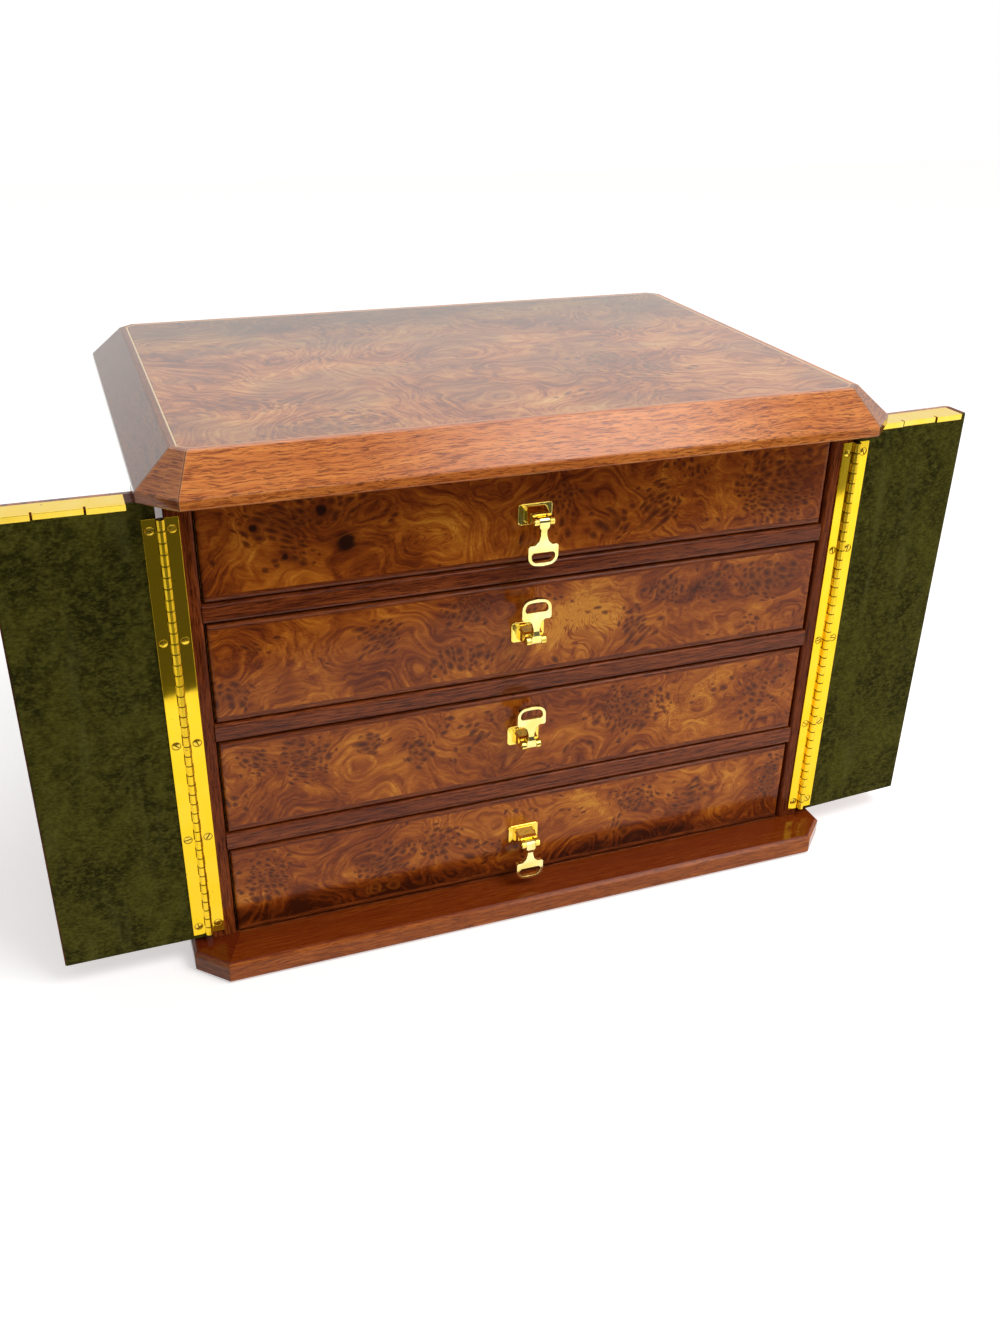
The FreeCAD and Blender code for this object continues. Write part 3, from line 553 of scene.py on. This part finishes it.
def front_burl(number):
    """The burl of one drawer front between its mahogany lippings, which run along its top and bottom
    edges."""
    low, high = (corner * 1000 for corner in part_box("drawer_%d_front" % number))
    made, tree, place = new_finish("drawer %d burl" % number)
    x, y, z = split(tree, place)
    down = minus(tree, high.z, z)
    flat = join(tree, x, down, 11.0 * number)
    colour, threads = burl_colour(tree, flat, BURL, CLUSTERS[number], GOLDS[number], KNOTS.get(number, ()))
    strip, marks = mahogany_colour(tree, x, z, y, LIPPING, 0.6)
    edge = minus(tree, down, LIP_TOP)
    foot = minus(tree, high.z - low.z - LIP_FOOT, down)
    inside = span(tree, maths(tree, "MINIMUM", edge, foot), -0.12, 0.12)
    colour = blend_colours(tree, inside, strip, colour)
    close_finish(tree, colour, 0.36, threads, VENEER_RELIEF, ease=0.0008, **THIN_LACQUER)
    return made


for number in (4, 3, 2, 1):
    finish("drawer_%d_front" % number, front_burl(number))
    finish("drawer_%d_box" % number, inner_wood)


# Brass. Pulls, hinges and door caps, polished and lacquered, which mirror the pale room and the floor's
# edge. The pulls are cast and screwed on from inside the drawers; each piano hinge is rolled from sheet
# round a pin.
HINGE_X = 180.0
HINGE_Y = -112.3
SCREW_OUT = 4.95
SCREW_PITCH = 55.6
SCREW_LEVELS = 22.65 + SCREW_PITCH * np.arange(5)
SCREW_RING_SHADE_R = 2.1
KNUCKLE_REACH = 2.0
KNUCKLE_PITCH = 5.564
KNUCKLE_FOOT = 17.0
KNUCKLE_DULL = 0.22
CAMBER = 0.004
BRASS_WARM = (246, 204, 20)
BRASS_SPECK = (120, 84, 30)
# Painted shade for the gaps between the knuckles, and for the ring round each screw head.
KNUCKLE_GAP_SHADE = (70, 44, 6)
# Painted shade for the ring round each screw head.
SCREW_RING_SHADE = (96, 58, 4)


def hinge_dulling_and_shade(tree, place, tone, shine):
    """Duller knuckles and painted shade on a hinge, in bands on its own axis: the knuckles are duller than
    the leaves, painted shade darkens the gaps between them, and a ring of painted shade lies round the head
    of every screw."""
    x, y, z = split(tree, place)
    across = without_sign(tree, minus(tree, without_sign(tree, x), HINGE_X))
    rolled = maths(tree, "LESS_THAN", across, KNUCKLE_REACH)
    shine = times_plus(tree, rolled, KNUCKLE_DULL, shine)
    # Painted shade in the gaps between the knuckles.
    joint = maths(tree, "PINGPONG", minus(tree, z, KNUCKLE_FOOT), KNUCKLE_PITCH / 2)
    joint = times(tree, span(tree, joint, 0.2, 0.5, 0.85, 0.0), rolled)
    tone = blend_colours(tree, joint, tone, paint(*KNUCKLE_GAP_SHADE))
    # A ring of painted shade round each screw head, where the head meets its countersunk hole.
    level = maths(tree, "PINGPONG", minus(tree, z, SCREW_LEVELS[0]), SCREW_PITCH / 2)
    far = length(tree, join(tree, minus(tree, across, SCREW_OUT), level))
    far = without_sign(tree, minus(tree, far, SCREW_RING_SHADE_R))
    tone = blend_colours(tree, span(tree, far, 0.12, 0.38, 0.62, 0.0), tone, paint(*SCREW_RING_SHADE))
    return tone, shine


def brass(name, colour=(255, 234, 128), rough=0.07, ease=0.0004, lean=0.0, foot=0.0, hinge=False):
    """Polished brass with faint smears, fine scratches along its length and a few brown specks. A camber
    leans the face a little, by lean millimetres of relief for each millimetre of height, and eases it back
    below the height foot, by CAMBER for each square millimetre. A hinge gets duller knuckles and painted
    shade of its own."""
    made, tree, place = new_finish(name)
    smear = speckle(tree, place, (0.08, 0.08, 0.08), 3.0)
    scratch = speckle(tree, place, (0.6, 0.6, 0.12))
    speck = speckle(tree, place, (0.45, 0.45, 0.45))
    tone = blend_colours(tree, span(tree, smear, 0.35, 0.65, 0.0, 0.5), paint(*colour), paint(*BRASS_WARM))
    tone = blend_colours(tree, span(tree, speck, 0.70, 0.76, 0.0, 0.5), tone, paint(*BRASS_SPECK))
    shine = times_plus(tree, smear, 0.08, rough - 0.03)
    if hinge:
        tone, shine = hinge_dulling_and_shade(tree, place, tone, shine)
    relief = times(tree, scratch, 0.003)
    height = split(tree, place)[2]
    if lean:
        relief = times_plus(tree, height, lean, relief)
    if foot:
        under = larger(tree, minus(tree, foot, height), 0.0)
        relief = times_plus(tree, times(tree, under, under), CAMBER, relief)
    close_finish(tree, tone, shine, relief, 0.001, ease=ease, Metallic=1.0)
    return made


pull_brass = brass("pull brass")
stirrup_brass = brass("stirrup brass", (255, 248, 176), lean=0.10)
hinge_brass = brass("hinge brass", (250, 208, 52), rough=0.045, ease=0.0003, foot=36.0, hinge=True)
cap_brass = brass("cap brass", (246, 214, 98), rough=0.09, lean=0.22)
for number in range(1, 5):
    finish("drawer_%d_pull_mount" % number, pull_brass)
    finish("drawer_%d_pull_screw" % number, pull_brass)
    finish("drawer_%d_stirrup" % number, stirrup_brass)
for node in ("case_hinge_leaf_left", "case_hinge_leaf_right", "hinge_pins"):
    finish(node, hinge_brass)


# Doors. A mahogany core with a burl panel outside, a padded velvet face glued inside, a brass cap let into
# the top edge and a hinge leaf screwed over the velvet. The velvet steps down under the cap's lip.
RIGHT_OPEN = np.radians(3.4)
PAD_NEAR = 1.5
PAD_FAR = 72.4
PAD_LOW = 13.9
PAD_HIGH = 258.4
PAD_BACK = 3.2
PAD_THICK = 1.5
LIP_NEAR = 13.4
LIP_FAR = 69.5
LIP_HIGH = 3.0
LIP_STEP = 0.05
LEAF_OVER = 8.3
VELVET_TONES = ((70, 67, 18), (40, 38, 6))
MOTTLE = (92, 88, 32)
NAP_UP = (98, 94, 38)
NAP_DOWN = (24, 23, 3)
BRUSHED = (98, 98, 48)
SHEEN = (150, 150, 70)


def velvet(name):
    """Olive velvet: a dark ground in soft blotches, mottled and with short strokes where the nap stands up
    or lies down, and a paler sheen where it has been brushed."""
    made, tree, place = new_finish(name)
    blotch = speckle(tree, place, (0.05, 0.05, 0.028), 4.0, 0.62, 0.6)
    mottle = speckle(tree, place, (0.24, 0.24, 0.30), 4.0, 0.65)
    nap = speckle(tree, place, (0.45, 0.45, 0.8), 4.0, 0.7)
    brushed = speckle(tree, place, (0.09, 0.09, 0.014), 3.0, 0.6)
    light, dark = (paint(*tone) for tone in VELVET_TONES)
    tone = blend_colours(tree, span(tree, blotch, 0.38, 0.64), dark, light)
    tone = blend_colours(tree, span(tree, mottle, 0.42, 0.64, 0.0, 0.5), tone, paint(*MOTTLE))
    tone = blend_colours(tree, span(tree, nap, 0.50, 0.64, 0.0, 0.45), tone, paint(*NAP_UP))
    tone = blend_colours(tree, span(tree, nap, 0.50, 0.34, 0.0, 0.5), tone, paint(*NAP_DOWN))
    tone = blend_colours(tree, span(tree, brushed, 0.52, 0.72, 0.0, 0.28), tone, paint(*BRUSHED))
    close_finish(tree, tone, 1.0, nap, 0.0004, Specular_IOR_Level=0.1, Sheen_Weight=0.12, Sheen_Roughness=0.4,
                 Sheen_Tint=paint(*SHEEN))
    return made


def spread(low, high, coarse, fine, edge):
    """Stations from low to high: fine steps over the first and last stretch, coarse steps between."""
    count = max(2, int(np.ceil((high - low - 2 * edge) / coarse)))
    rim = np.arange(0, edge, fine)
    return np.concatenate([low + rim, np.linspace(low + edge, high - edge, count), high - rim[::-1]])


def grid_faces(index):
    """The four-cornered faces of a grid of point numbers."""
    corners = [index[:-1, :-1], index[1:, :-1], index[1:, 1:], index[:-1, 1:]]
    return np.stack(corners, -1).reshape(-1, 4)


def pad_mesh(u, v, top, thick, roll, ease, swell):
    """A closed pad with a flat back. The front is a grid of (u, v) whose height is rise times the sum of
    thick, less ease, and swell times slow sines. rise is (1 - (1 - d / roll) ** 2) ** 0.5 within roll of
    the edge and 1 beyond, where d is the distance to the edge. top gives the level of the upper edge at
    each u. Gives the points, as (u, height, v), and the faces."""
    low = v[0]
    share = (v - low) / (v[-1] - low)
    uu = np.repeat(u[:, None], len(v), 1)
    vv = low + share[None, :] * (top[:, None] - low)
    reach = np.minimum(np.minimum(uu - u[0], u[-1] - uu), np.minimum(vv - low, top[:, None] - vv))
    rise = np.sqrt(np.clip(1 - (1 - np.clip(reach / roll, 0, 1)) ** 2, 0, 1))
    wave = np.sin(uu / 9.0 + 0.6 * np.sin(vv / 23.0)) * np.sin(vv / 17.0 + 1.3 * np.sin(uu / 31.0))
    height = thick * rise * (1 - ease / thick) + swell * wave * rise
    front = np.stack([uu, height, vv], -1).reshape(-1, 3)
    back = np.stack([uu, np.zeros_like(uu), vv], -1).reshape(-1, 3)
    index = np.arange(uu.size).reshape(uu.shape)
    face = grid_faces(index)
    rear = face[:, ::-1] + uu.size
    rim = np.ones(index.shape, bool)
    rim[1:-1, 1:-1] = False
    joined = np.arange(2 * uu.size)
    joined[uu.size:][rim.ravel()] = index[rim]
    return np.concatenate([front, back]), joined[np.concatenate([face, rear])]


def new_piece(name, points, faces, material):
    """A mesh object at the origin, from points in millimetres; points that no face uses are left out."""
    used, faces = np.unique(faces, return_inverse=True)
    faces = faces.reshape(-1, 4)
    mesh = bpy.data.meshes.new(name)
    mesh.from_pydata((points[used] / 1000).tolist(), [], faces.tolist())
    mesh.polygons.foreach_set("use_smooth", np.ones(len(faces), bool))
    mesh.materials.append(material)
    mesh.update()
    made = bpy.data.objects.new(name, mesh)
    bpy.context.scene.collection.objects.link(made)
    return made


def door_pad(side, material):
    """The velvet face of one door, worked out from the hinge axis: u is outward, v is up, and the height is
    to the front. Stations lie at both ends of the cap's lip and at the edge of the hinge leaf."""
    u = spread(PAD_NEAR, PAD_FAR, coarse=1.8, fine=0.2, edge=0.8)
    u = np.sort(np.concatenate([u, [LIP_NEAR - LIP_STEP, LIP_NEAR, LIP_FAR, LIP_FAR + LIP_STEP, LEAF_OVER]]))
    v = spread(PAD_LOW, PAD_HIGH, coarse=2.2, fine=0.2, edge=0.8)
    under_lip = (u > LIP_NEAR - LIP_STEP / 2) & (u < LIP_FAR + LIP_STEP / 2)
    top = np.where(under_lip, PAD_HIGH - LIP_HIGH, PAD_HIGH)
    points, faces = pad_mesh(u, v, top, PAD_THICK, roll=0.7, ease=0.06, swell=0.05)
    out = points[:, 0]
    back = PAD_BACK - points[:, 1]
    turn = RIGHT_OPEN if side == "right" else 0.0
    x = HINGE_X + out * np.cos(turn) - back * np.sin(turn)
    y = HINGE_Y + out * np.sin(turn) + back * np.cos(turn)
    if side == "left":
        x = -x
        faces = faces[:, ::-1]
    made = new_piece("velvet_face_" + side, np.stack([x, y, points[:, 2]], -1), faces, material)
    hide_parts("door_%s_velvet" % side)
    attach(made, "door_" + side)


def outer_burl():
    """The burl outside the doors, scattered with eyes and lacquered like the top."""
    made, tree, place = new_finish("door burl")
    x, y, z = split(tree, place)
    colour, threads = burl_colour(tree, join(tree, x, z, 70.0), BURL, swirl=1.2, loose=0.9)
    close_finish(tree, colour, 0.38, threads, VENEER_RELIEF, ease=0.0008, **LACQUER)
    return made


door_velvet = velvet("door velvet")
door_burl = outer_burl()
for side in ("left", "right"):
    door_pad(side, door_velvet)
    finish("door_%s_core" % side, side_wood)
    finish("door_%s_panel" % side, door_burl)
    finish("door_%s_cap" % side, cap_brass)
    finish("door_%s_hinge_leaf" % side, hinge_brass)


# Hinge screws. Small slotted brass screws, countersunk in the leaves, five in each, their slots left as
# they were driven and painted dark inside as shade. The head is a low dome in strips across the slot, over a
# cone and a tapered shank.
SCREW_FACE = 0.9
SCREW_R = 1.9
SCREW_DOME = 0.22
SCREW_SLOT = 0.55
SLOT_DEEP = 0.42
SLOT_WALL = 0.02
HEAD_RIM = 0.3
SHANK_R = 1.0
SHANK_START = 0.8
SHANK_TIP = 9.0
SHANK_SIDES = 8
POINT_R = 0.02


def head_mesh():
    """A screw's head. A point is (x, t * half the chord at x). Its top is dome * (1 - (r / R) ** 2) - dome,
    less the slot's depth within the slot; its underside is a cone; a wall joins the two. Gives the points,
    the faces and which of the top's points lie at the slot."""
    half = SCREW_SLOT / 2
    left = np.cos(np.linspace(np.pi, 0.62 * np.pi, 6)) * SCREW_R
    slot = [-half - SLOT_WALL, -half, half, half + SLOT_WALL]
    right = np.cos(np.linspace(0.38 * np.pi, 0, 6)) * SCREW_R
    x = np.concatenate([left, slot, right])
    t = np.sin(np.linspace(-0.5, 0.5, 11) * np.pi)
    xx = np.repeat(x[:, None], len(t), 1)
    yy = t[None, :] * np.sqrt(np.clip(SCREW_R ** 2 - xx ** 2, 0, None))
    r = np.hypot(xx, yy)
    in_slot = np.abs(xx) < half + SLOT_WALL / 2
    top = SCREW_DOME * (1 - (r / SCREW_R) ** 2) - SCREW_DOME - SLOT_DEEP * in_slot
    under = -SCREW_DOME - HEAD_RIM - (SCREW_R - np.maximum(r, SHANK_R))
    index = np.arange(xx.size).reshape(xx.shape)
    face = grid_faces(index)
    loop = np.concatenate([index[:-1, 0], index[-1, :-1], index[:0:-1, -1], index[0, :0:-1]])
    after = np.roll(loop, -1)
    wall = np.stack([after, loop, loop + xx.size, after + xx.size], -1)
    points = [np.stack([xx, yy, height], -1).reshape(-1, 3) for height in (top, under)]
    near_slot = (np.abs(xx) < half + 1.5 * SLOT_WALL).ravel()
    return np.concatenate(points), [face, face[:, ::-1] + xx.size, wall], near_slot


def shank_mesh(start):
    """A screw's shank: a profile of radius and depth turned about the screw's axis, and closed at each end
    by three faces. Its points are counted from start."""
    angle = np.arange(SHANK_SIDES) * 2 * np.pi / SHANK_SIDES
    profile = np.array([(POINT_R, SHANK_START), (SHANK_R, SHANK_START), (SHANK_R, SHANK_TIP * 0.6),
                        (POINT_R, SHANK_TIP)])
    depth = np.repeat(-profile[:, 1:], SHANK_SIDES, 1)
    points = np.stack([profile[:, :1] * np.cos(angle), profile[:, :1] * np.sin(angle), depth], -1)
    ring = np.arange(profile.shape[0] * SHANK_SIDES).reshape(-1, SHANK_SIDES) + start
    beside = np.roll(ring, -1, 1)
    side = np.stack([ring[1:], beside[1:], beside[:-1], ring[:-1]], -1).reshape(-1, 4)
    thirds = np.array([[0, 1, 2, 3], [0, 3, 4, 7], [4, 5, 6, 7]])
    return points.reshape(-1, 3), [side, ring[0][thirds], ring[-1][thirds[:, ::-1]]]


def screw_mesh():
    """One screw about its own middle, as (across, along, out), and which faces are the slot's."""
    head, head_faces, near_slot = head_mesh()
    shank, shank_faces = shank_mesh(len(head))
    faces = np.concatenate(head_faces + shank_faces)
    in_slot = np.zeros(len(head) + len(shank), bool)
    in_slot[:len(near_slot)] = near_slot
    return np.concatenate([head, shank]), faces, in_slot[faces].all(1)


def hinge_screws(name, node, body, places):
    """The screws of one node. Each place is (hinge side, way out from the axis, turn of the leaf, slot
    angles), and the slot angles are in degrees, from the lowest screw up."""
    # dark marks the faces of the slot, which take the dark, dull brass of painted shade.
    one, faces, dark = screw_mesh()
    points, all_faces = [], []
    for side, out, turn, slots in places:
        spin = np.radians(np.array(slots))[:, None]
        across = one[None, :, 0] * np.cos(spin) - one[None, :, 1] * np.sin(spin)
        along = one[None, :, 0] * np.sin(spin) + one[None, :, 1] * np.cos(spin)
        u = out + across
        w = np.broadcast_to(SCREW_FACE - one[None, :, 2], u.shape)
        x = side * HINGE_X + u * np.cos(turn) - w * np.sin(turn)
        y = HINGE_Y + u * np.sin(turn) + w * np.cos(turn)
        shift = np.arange(len(slots))[:, None, None] * len(one) + sum(len(part) for part in points)
        all_faces.append((faces[None] + shift).reshape(-1, 4))
        points.append(np.stack([x, y, SCREW_LEVELS[:, None] + along], -1).reshape(-1, 3))
    made = new_piece(name, np.concatenate(points), np.concatenate(all_faces), screw_brass)
    # The slots' faces take the painted shade brass.
    made.data.materials.append(slot_shade_brass)
    in_slot = np.tile(dark, len(places) * len(SCREW_LEVELS))
    made.data.polygons.foreach_set("material_index", in_slot.astype(np.int32))
    made.data.polygons.foreach_set("use_smooth", np.zeros(len(made.data.polygons), bool))
    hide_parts(node)
    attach(made, body)


screw_brass = brass("screw brass", (240, 206, 74), rough=0.16, ease=0.0001)
# Painted shade: the dark, dull brass laid on the slots' faces.
slot_shade_brass = brass("screw slot painted shade", (96, 62, 14), rough=0.4, ease=0.0001)
hinge_screws("case_screws", "case_hinge_screws", "case",
             [(-1, SCREW_OUT, 0.0, (70, -35, 20, 85, -60)), (1, -SCREW_OUT, 0.0, (-20, 55, -75, 10, 40))])
hinge_screws("door_left_screws", "door_left_hinge_screws", "door_left",
             [(-1, -SCREW_OUT, 0.0, (15, -80, 50, -25, 65))])
hinge_screws("door_right_screws", "door_right_hinge_screws", "door_right",
             [(1, SCREW_OUT, RIGHT_OPEN, (35, -50, 80, -10, 25))])


# Drawer linings. A thin padded mat of the same velvet, turned under at its edges, and glued to the bottom
# of each drawer.
def drawer_mat(number, material):
    """The mat of one drawer: a pad lying flat, with soft rolled edges."""
    low, high = (corner * 1000 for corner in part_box("drawer_%d_lining" % number))
    u = spread(low.x, high.x, coarse=4.0, fine=0.4, edge=2.0)
    v = spread(low.y, high.y, coarse=4.0, fine=0.4, edge=2.0)
    points, faces = pad_mesh(u, v, np.full(len(u), high.y), high.z - low.z, roll=2.0, ease=0.15, swell=0.12)
    placed = np.stack([points[:, 0], points[:, 2], low.z + points[:, 1]], -1)
    made = new_piece("velvet_mat_%d" % number, placed, faces, material)
    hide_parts("drawer_%d_lining" % number)
    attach(made, "drawer_%d" % number)


for number in range(1, 5):
    drawer_mat(number, door_velvet)


# Floor and light. The chest stands on a white floor that ends a little way in front of it. The camera sees
# plain white beyond the floor, and the chest is lit by a pale room and one large soft lamp.
TABLE_FRONT = -0.452
TABLE_SLANT = -0.30
FLOOR_REACH = 3.0
FLOOR_DROP = 0.0002
FLOOR_PALE = (0.86, 0.86, 0.86, 1.0)
FLOOR_GLOW = 0.45
ROOM_LIGHT = (1.0, 0.985, 0.96, 1.0)
WHITE = (1.0, 1.0, 1.0, 1.0)
LAMP_AT = (0.7, -0.9, 1.7)
LAMP_AIM = (0, 0, 0.14)


def floor_plane():
    """The floor, flat and a hair under the chest. Its front edge lies at y = TABLE_FRONT + TABLE_SLANT * x,
    and the brass mirrors that edge as a line between bright and dark."""
    near_left = TABLE_FRONT - TABLE_SLANT * FLOOR_REACH
    near_right = TABLE_FRONT + TABLE_SLANT * FLOOR_REACH
    corners = [(-FLOOR_REACH, near_left, 0.0), (FLOOR_REACH, near_right, 0.0),
               (FLOOR_REACH, FLOOR_REACH, 0.0), (-FLOOR_REACH, FLOOR_REACH, 0.0)]
    mesh = bpy.data.meshes.new("floor")
    mesh.from_pydata(corners, [], [(0, 1, 2, 3)])
    made = bpy.data.objects.new("floor", mesh)
    made.location.z = -FLOOR_DROP
    bpy.context.scene.collection.objects.link(made)
    return made


def floor_white():
    """The floor's white. To the camera and in mirrors it glows a little, to meet the white beyond it."""
    made, tree = new_finish("pale floor")[:2]
    plain = add(tree, "ShaderNodeBsdfDiffuse", {"Color": FLOOR_PALE}).outputs[0]
    glow = add(tree, "ShaderNodeEmission", {"Color": WHITE, "Strength": FLOOR_GLOW}).outputs[0]
    path = add(tree, "ShaderNodeLightPath").outputs
    seen = larger(tree, path["Is Camera Ray"], path["Is Glossy Ray"])
    both = add(tree, "ShaderNodeAddShader", {0: plain, 1: glow}).outputs[0]
    mixed = add(tree, "ShaderNodeMixShader", {0: seen, 1: plain, 2: both}).outputs[0]
    add(tree, "ShaderNodeOutputMaterial", {0: mixed})
    return made


def mirrored_room(tree, x, y, z):
    """What lacquer and metal mirror in the direction (x, y, z). Above the horizon the room is bright, with
    a window high in front and dusk round it, a brighter ceiling towards the back and a dim wall low on the
    far right. Below it, where the floor has ended, the room is dark, and bright to the right of a slanting
    line."""
    above = span(tree, z, -0.04, 0.04)
    right = span(tree, plus(tree, x, times(tree, y, 0.745)), -0.03, 0.05, 0.0, 0.8)
    window = times(tree, span(tree, x, 0.20, 0.40), span(tree, x, 0.57, 0.43))
    window_reach = times(tree, span(tree, y, -0.02, -0.18), span(tree, z, 0.45, 0.65))
    window = times(tree, window_reach, times_plus(tree, window, 4.2, -0.4))
    ceiling = times(tree, span(tree, y, -0.12, 0.05, 0.0, 2.0), span(tree, z, 0.6, 0.85))
    ceiling = times(tree, ceiling, span(tree, x, -0.5, -0.2))
    wall = times(tree, span(tree, x, 0.66, 0.80), span(tree, z, 0.45, 0.25))
    sky = plus(tree, plus(tree, window, ceiling), times_plus(tree, wall, -0.75, 1.0))
    return larger(tree, times(tree, above, sky), plus(tree, right, 0.09))


def pale_room():
    """The room. Its light on the chest is stronger from the right and dies away below the horizon. The
    camera sees white, and lacquer and metal see the mirrored room."""
    made = bpy.data.worlds.new("room")
    made.use_nodes = True
    tree = made.node_tree
    tree.nodes.clear()
    x, y, z = split(tree, add(tree, "ShaderNodeTexCoord").outputs["Generated"])
    strength = times(tree, span(tree, x, -0.8, 0.7, 0.28, 1.0), span(tree, z, -0.04, 0.06, 0.06, 0.95))
    light = add(tree, "ShaderNodeBackground", {"Color": ROOM_LIGHT, "Strength": strength}).outputs[0]
    mirror = mirrored_room(tree, x, y, z)
    shown = add(tree, "ShaderNodeBackground", {"Color": WHITE, "Strength": mirror}).outputs[0]
    white = add(tree, "ShaderNodeBackground", {"Color": WHITE, "Strength": 1.0}).outputs[0]
    path = add(tree, "ShaderNodeLightPath").outputs
    clear = larger(tree, path["Is Glossy Ray"], path["Is Transmission Ray"])
    mixed = add(tree, "ShaderNodeMixShader", {0: clear, 1: light, 2: shown}).outputs[0]
    mixed = add(tree, "ShaderNodeMixShader", {0: path["Is Camera Ray"], 1: mixed, 2: white}).outputs[0]
    add(tree, "ShaderNodeOutputWorld", {0: mixed})
    return made


def soft_lamp(name, place, target, size, watts):
    """A large square lamp aimed at a point, and unseen in lacquer and metal."""
    data = bpy.data.lights.new(name, "AREA")
    data.size = size
    data.energy = watts
    made = bpy.data.objects.new(name, data)
    made.location = place
    made.rotation_euler = (Vector(target) - Vector(place)).to_track_quat("-Z", "Y").to_euler()
    made.visible_glossy = False
    bpy.context.scene.collection.objects.link(made)


floor = floor_plane()
floor.data.materials.append(floor_white())
bpy.context.scene.world = pale_room()
soft_lamp("key", LAMP_AT, LAMP_AIM, size=1.0, watts=16.0)

bpy.context.scene.view_settings.view_transform = "Standard"
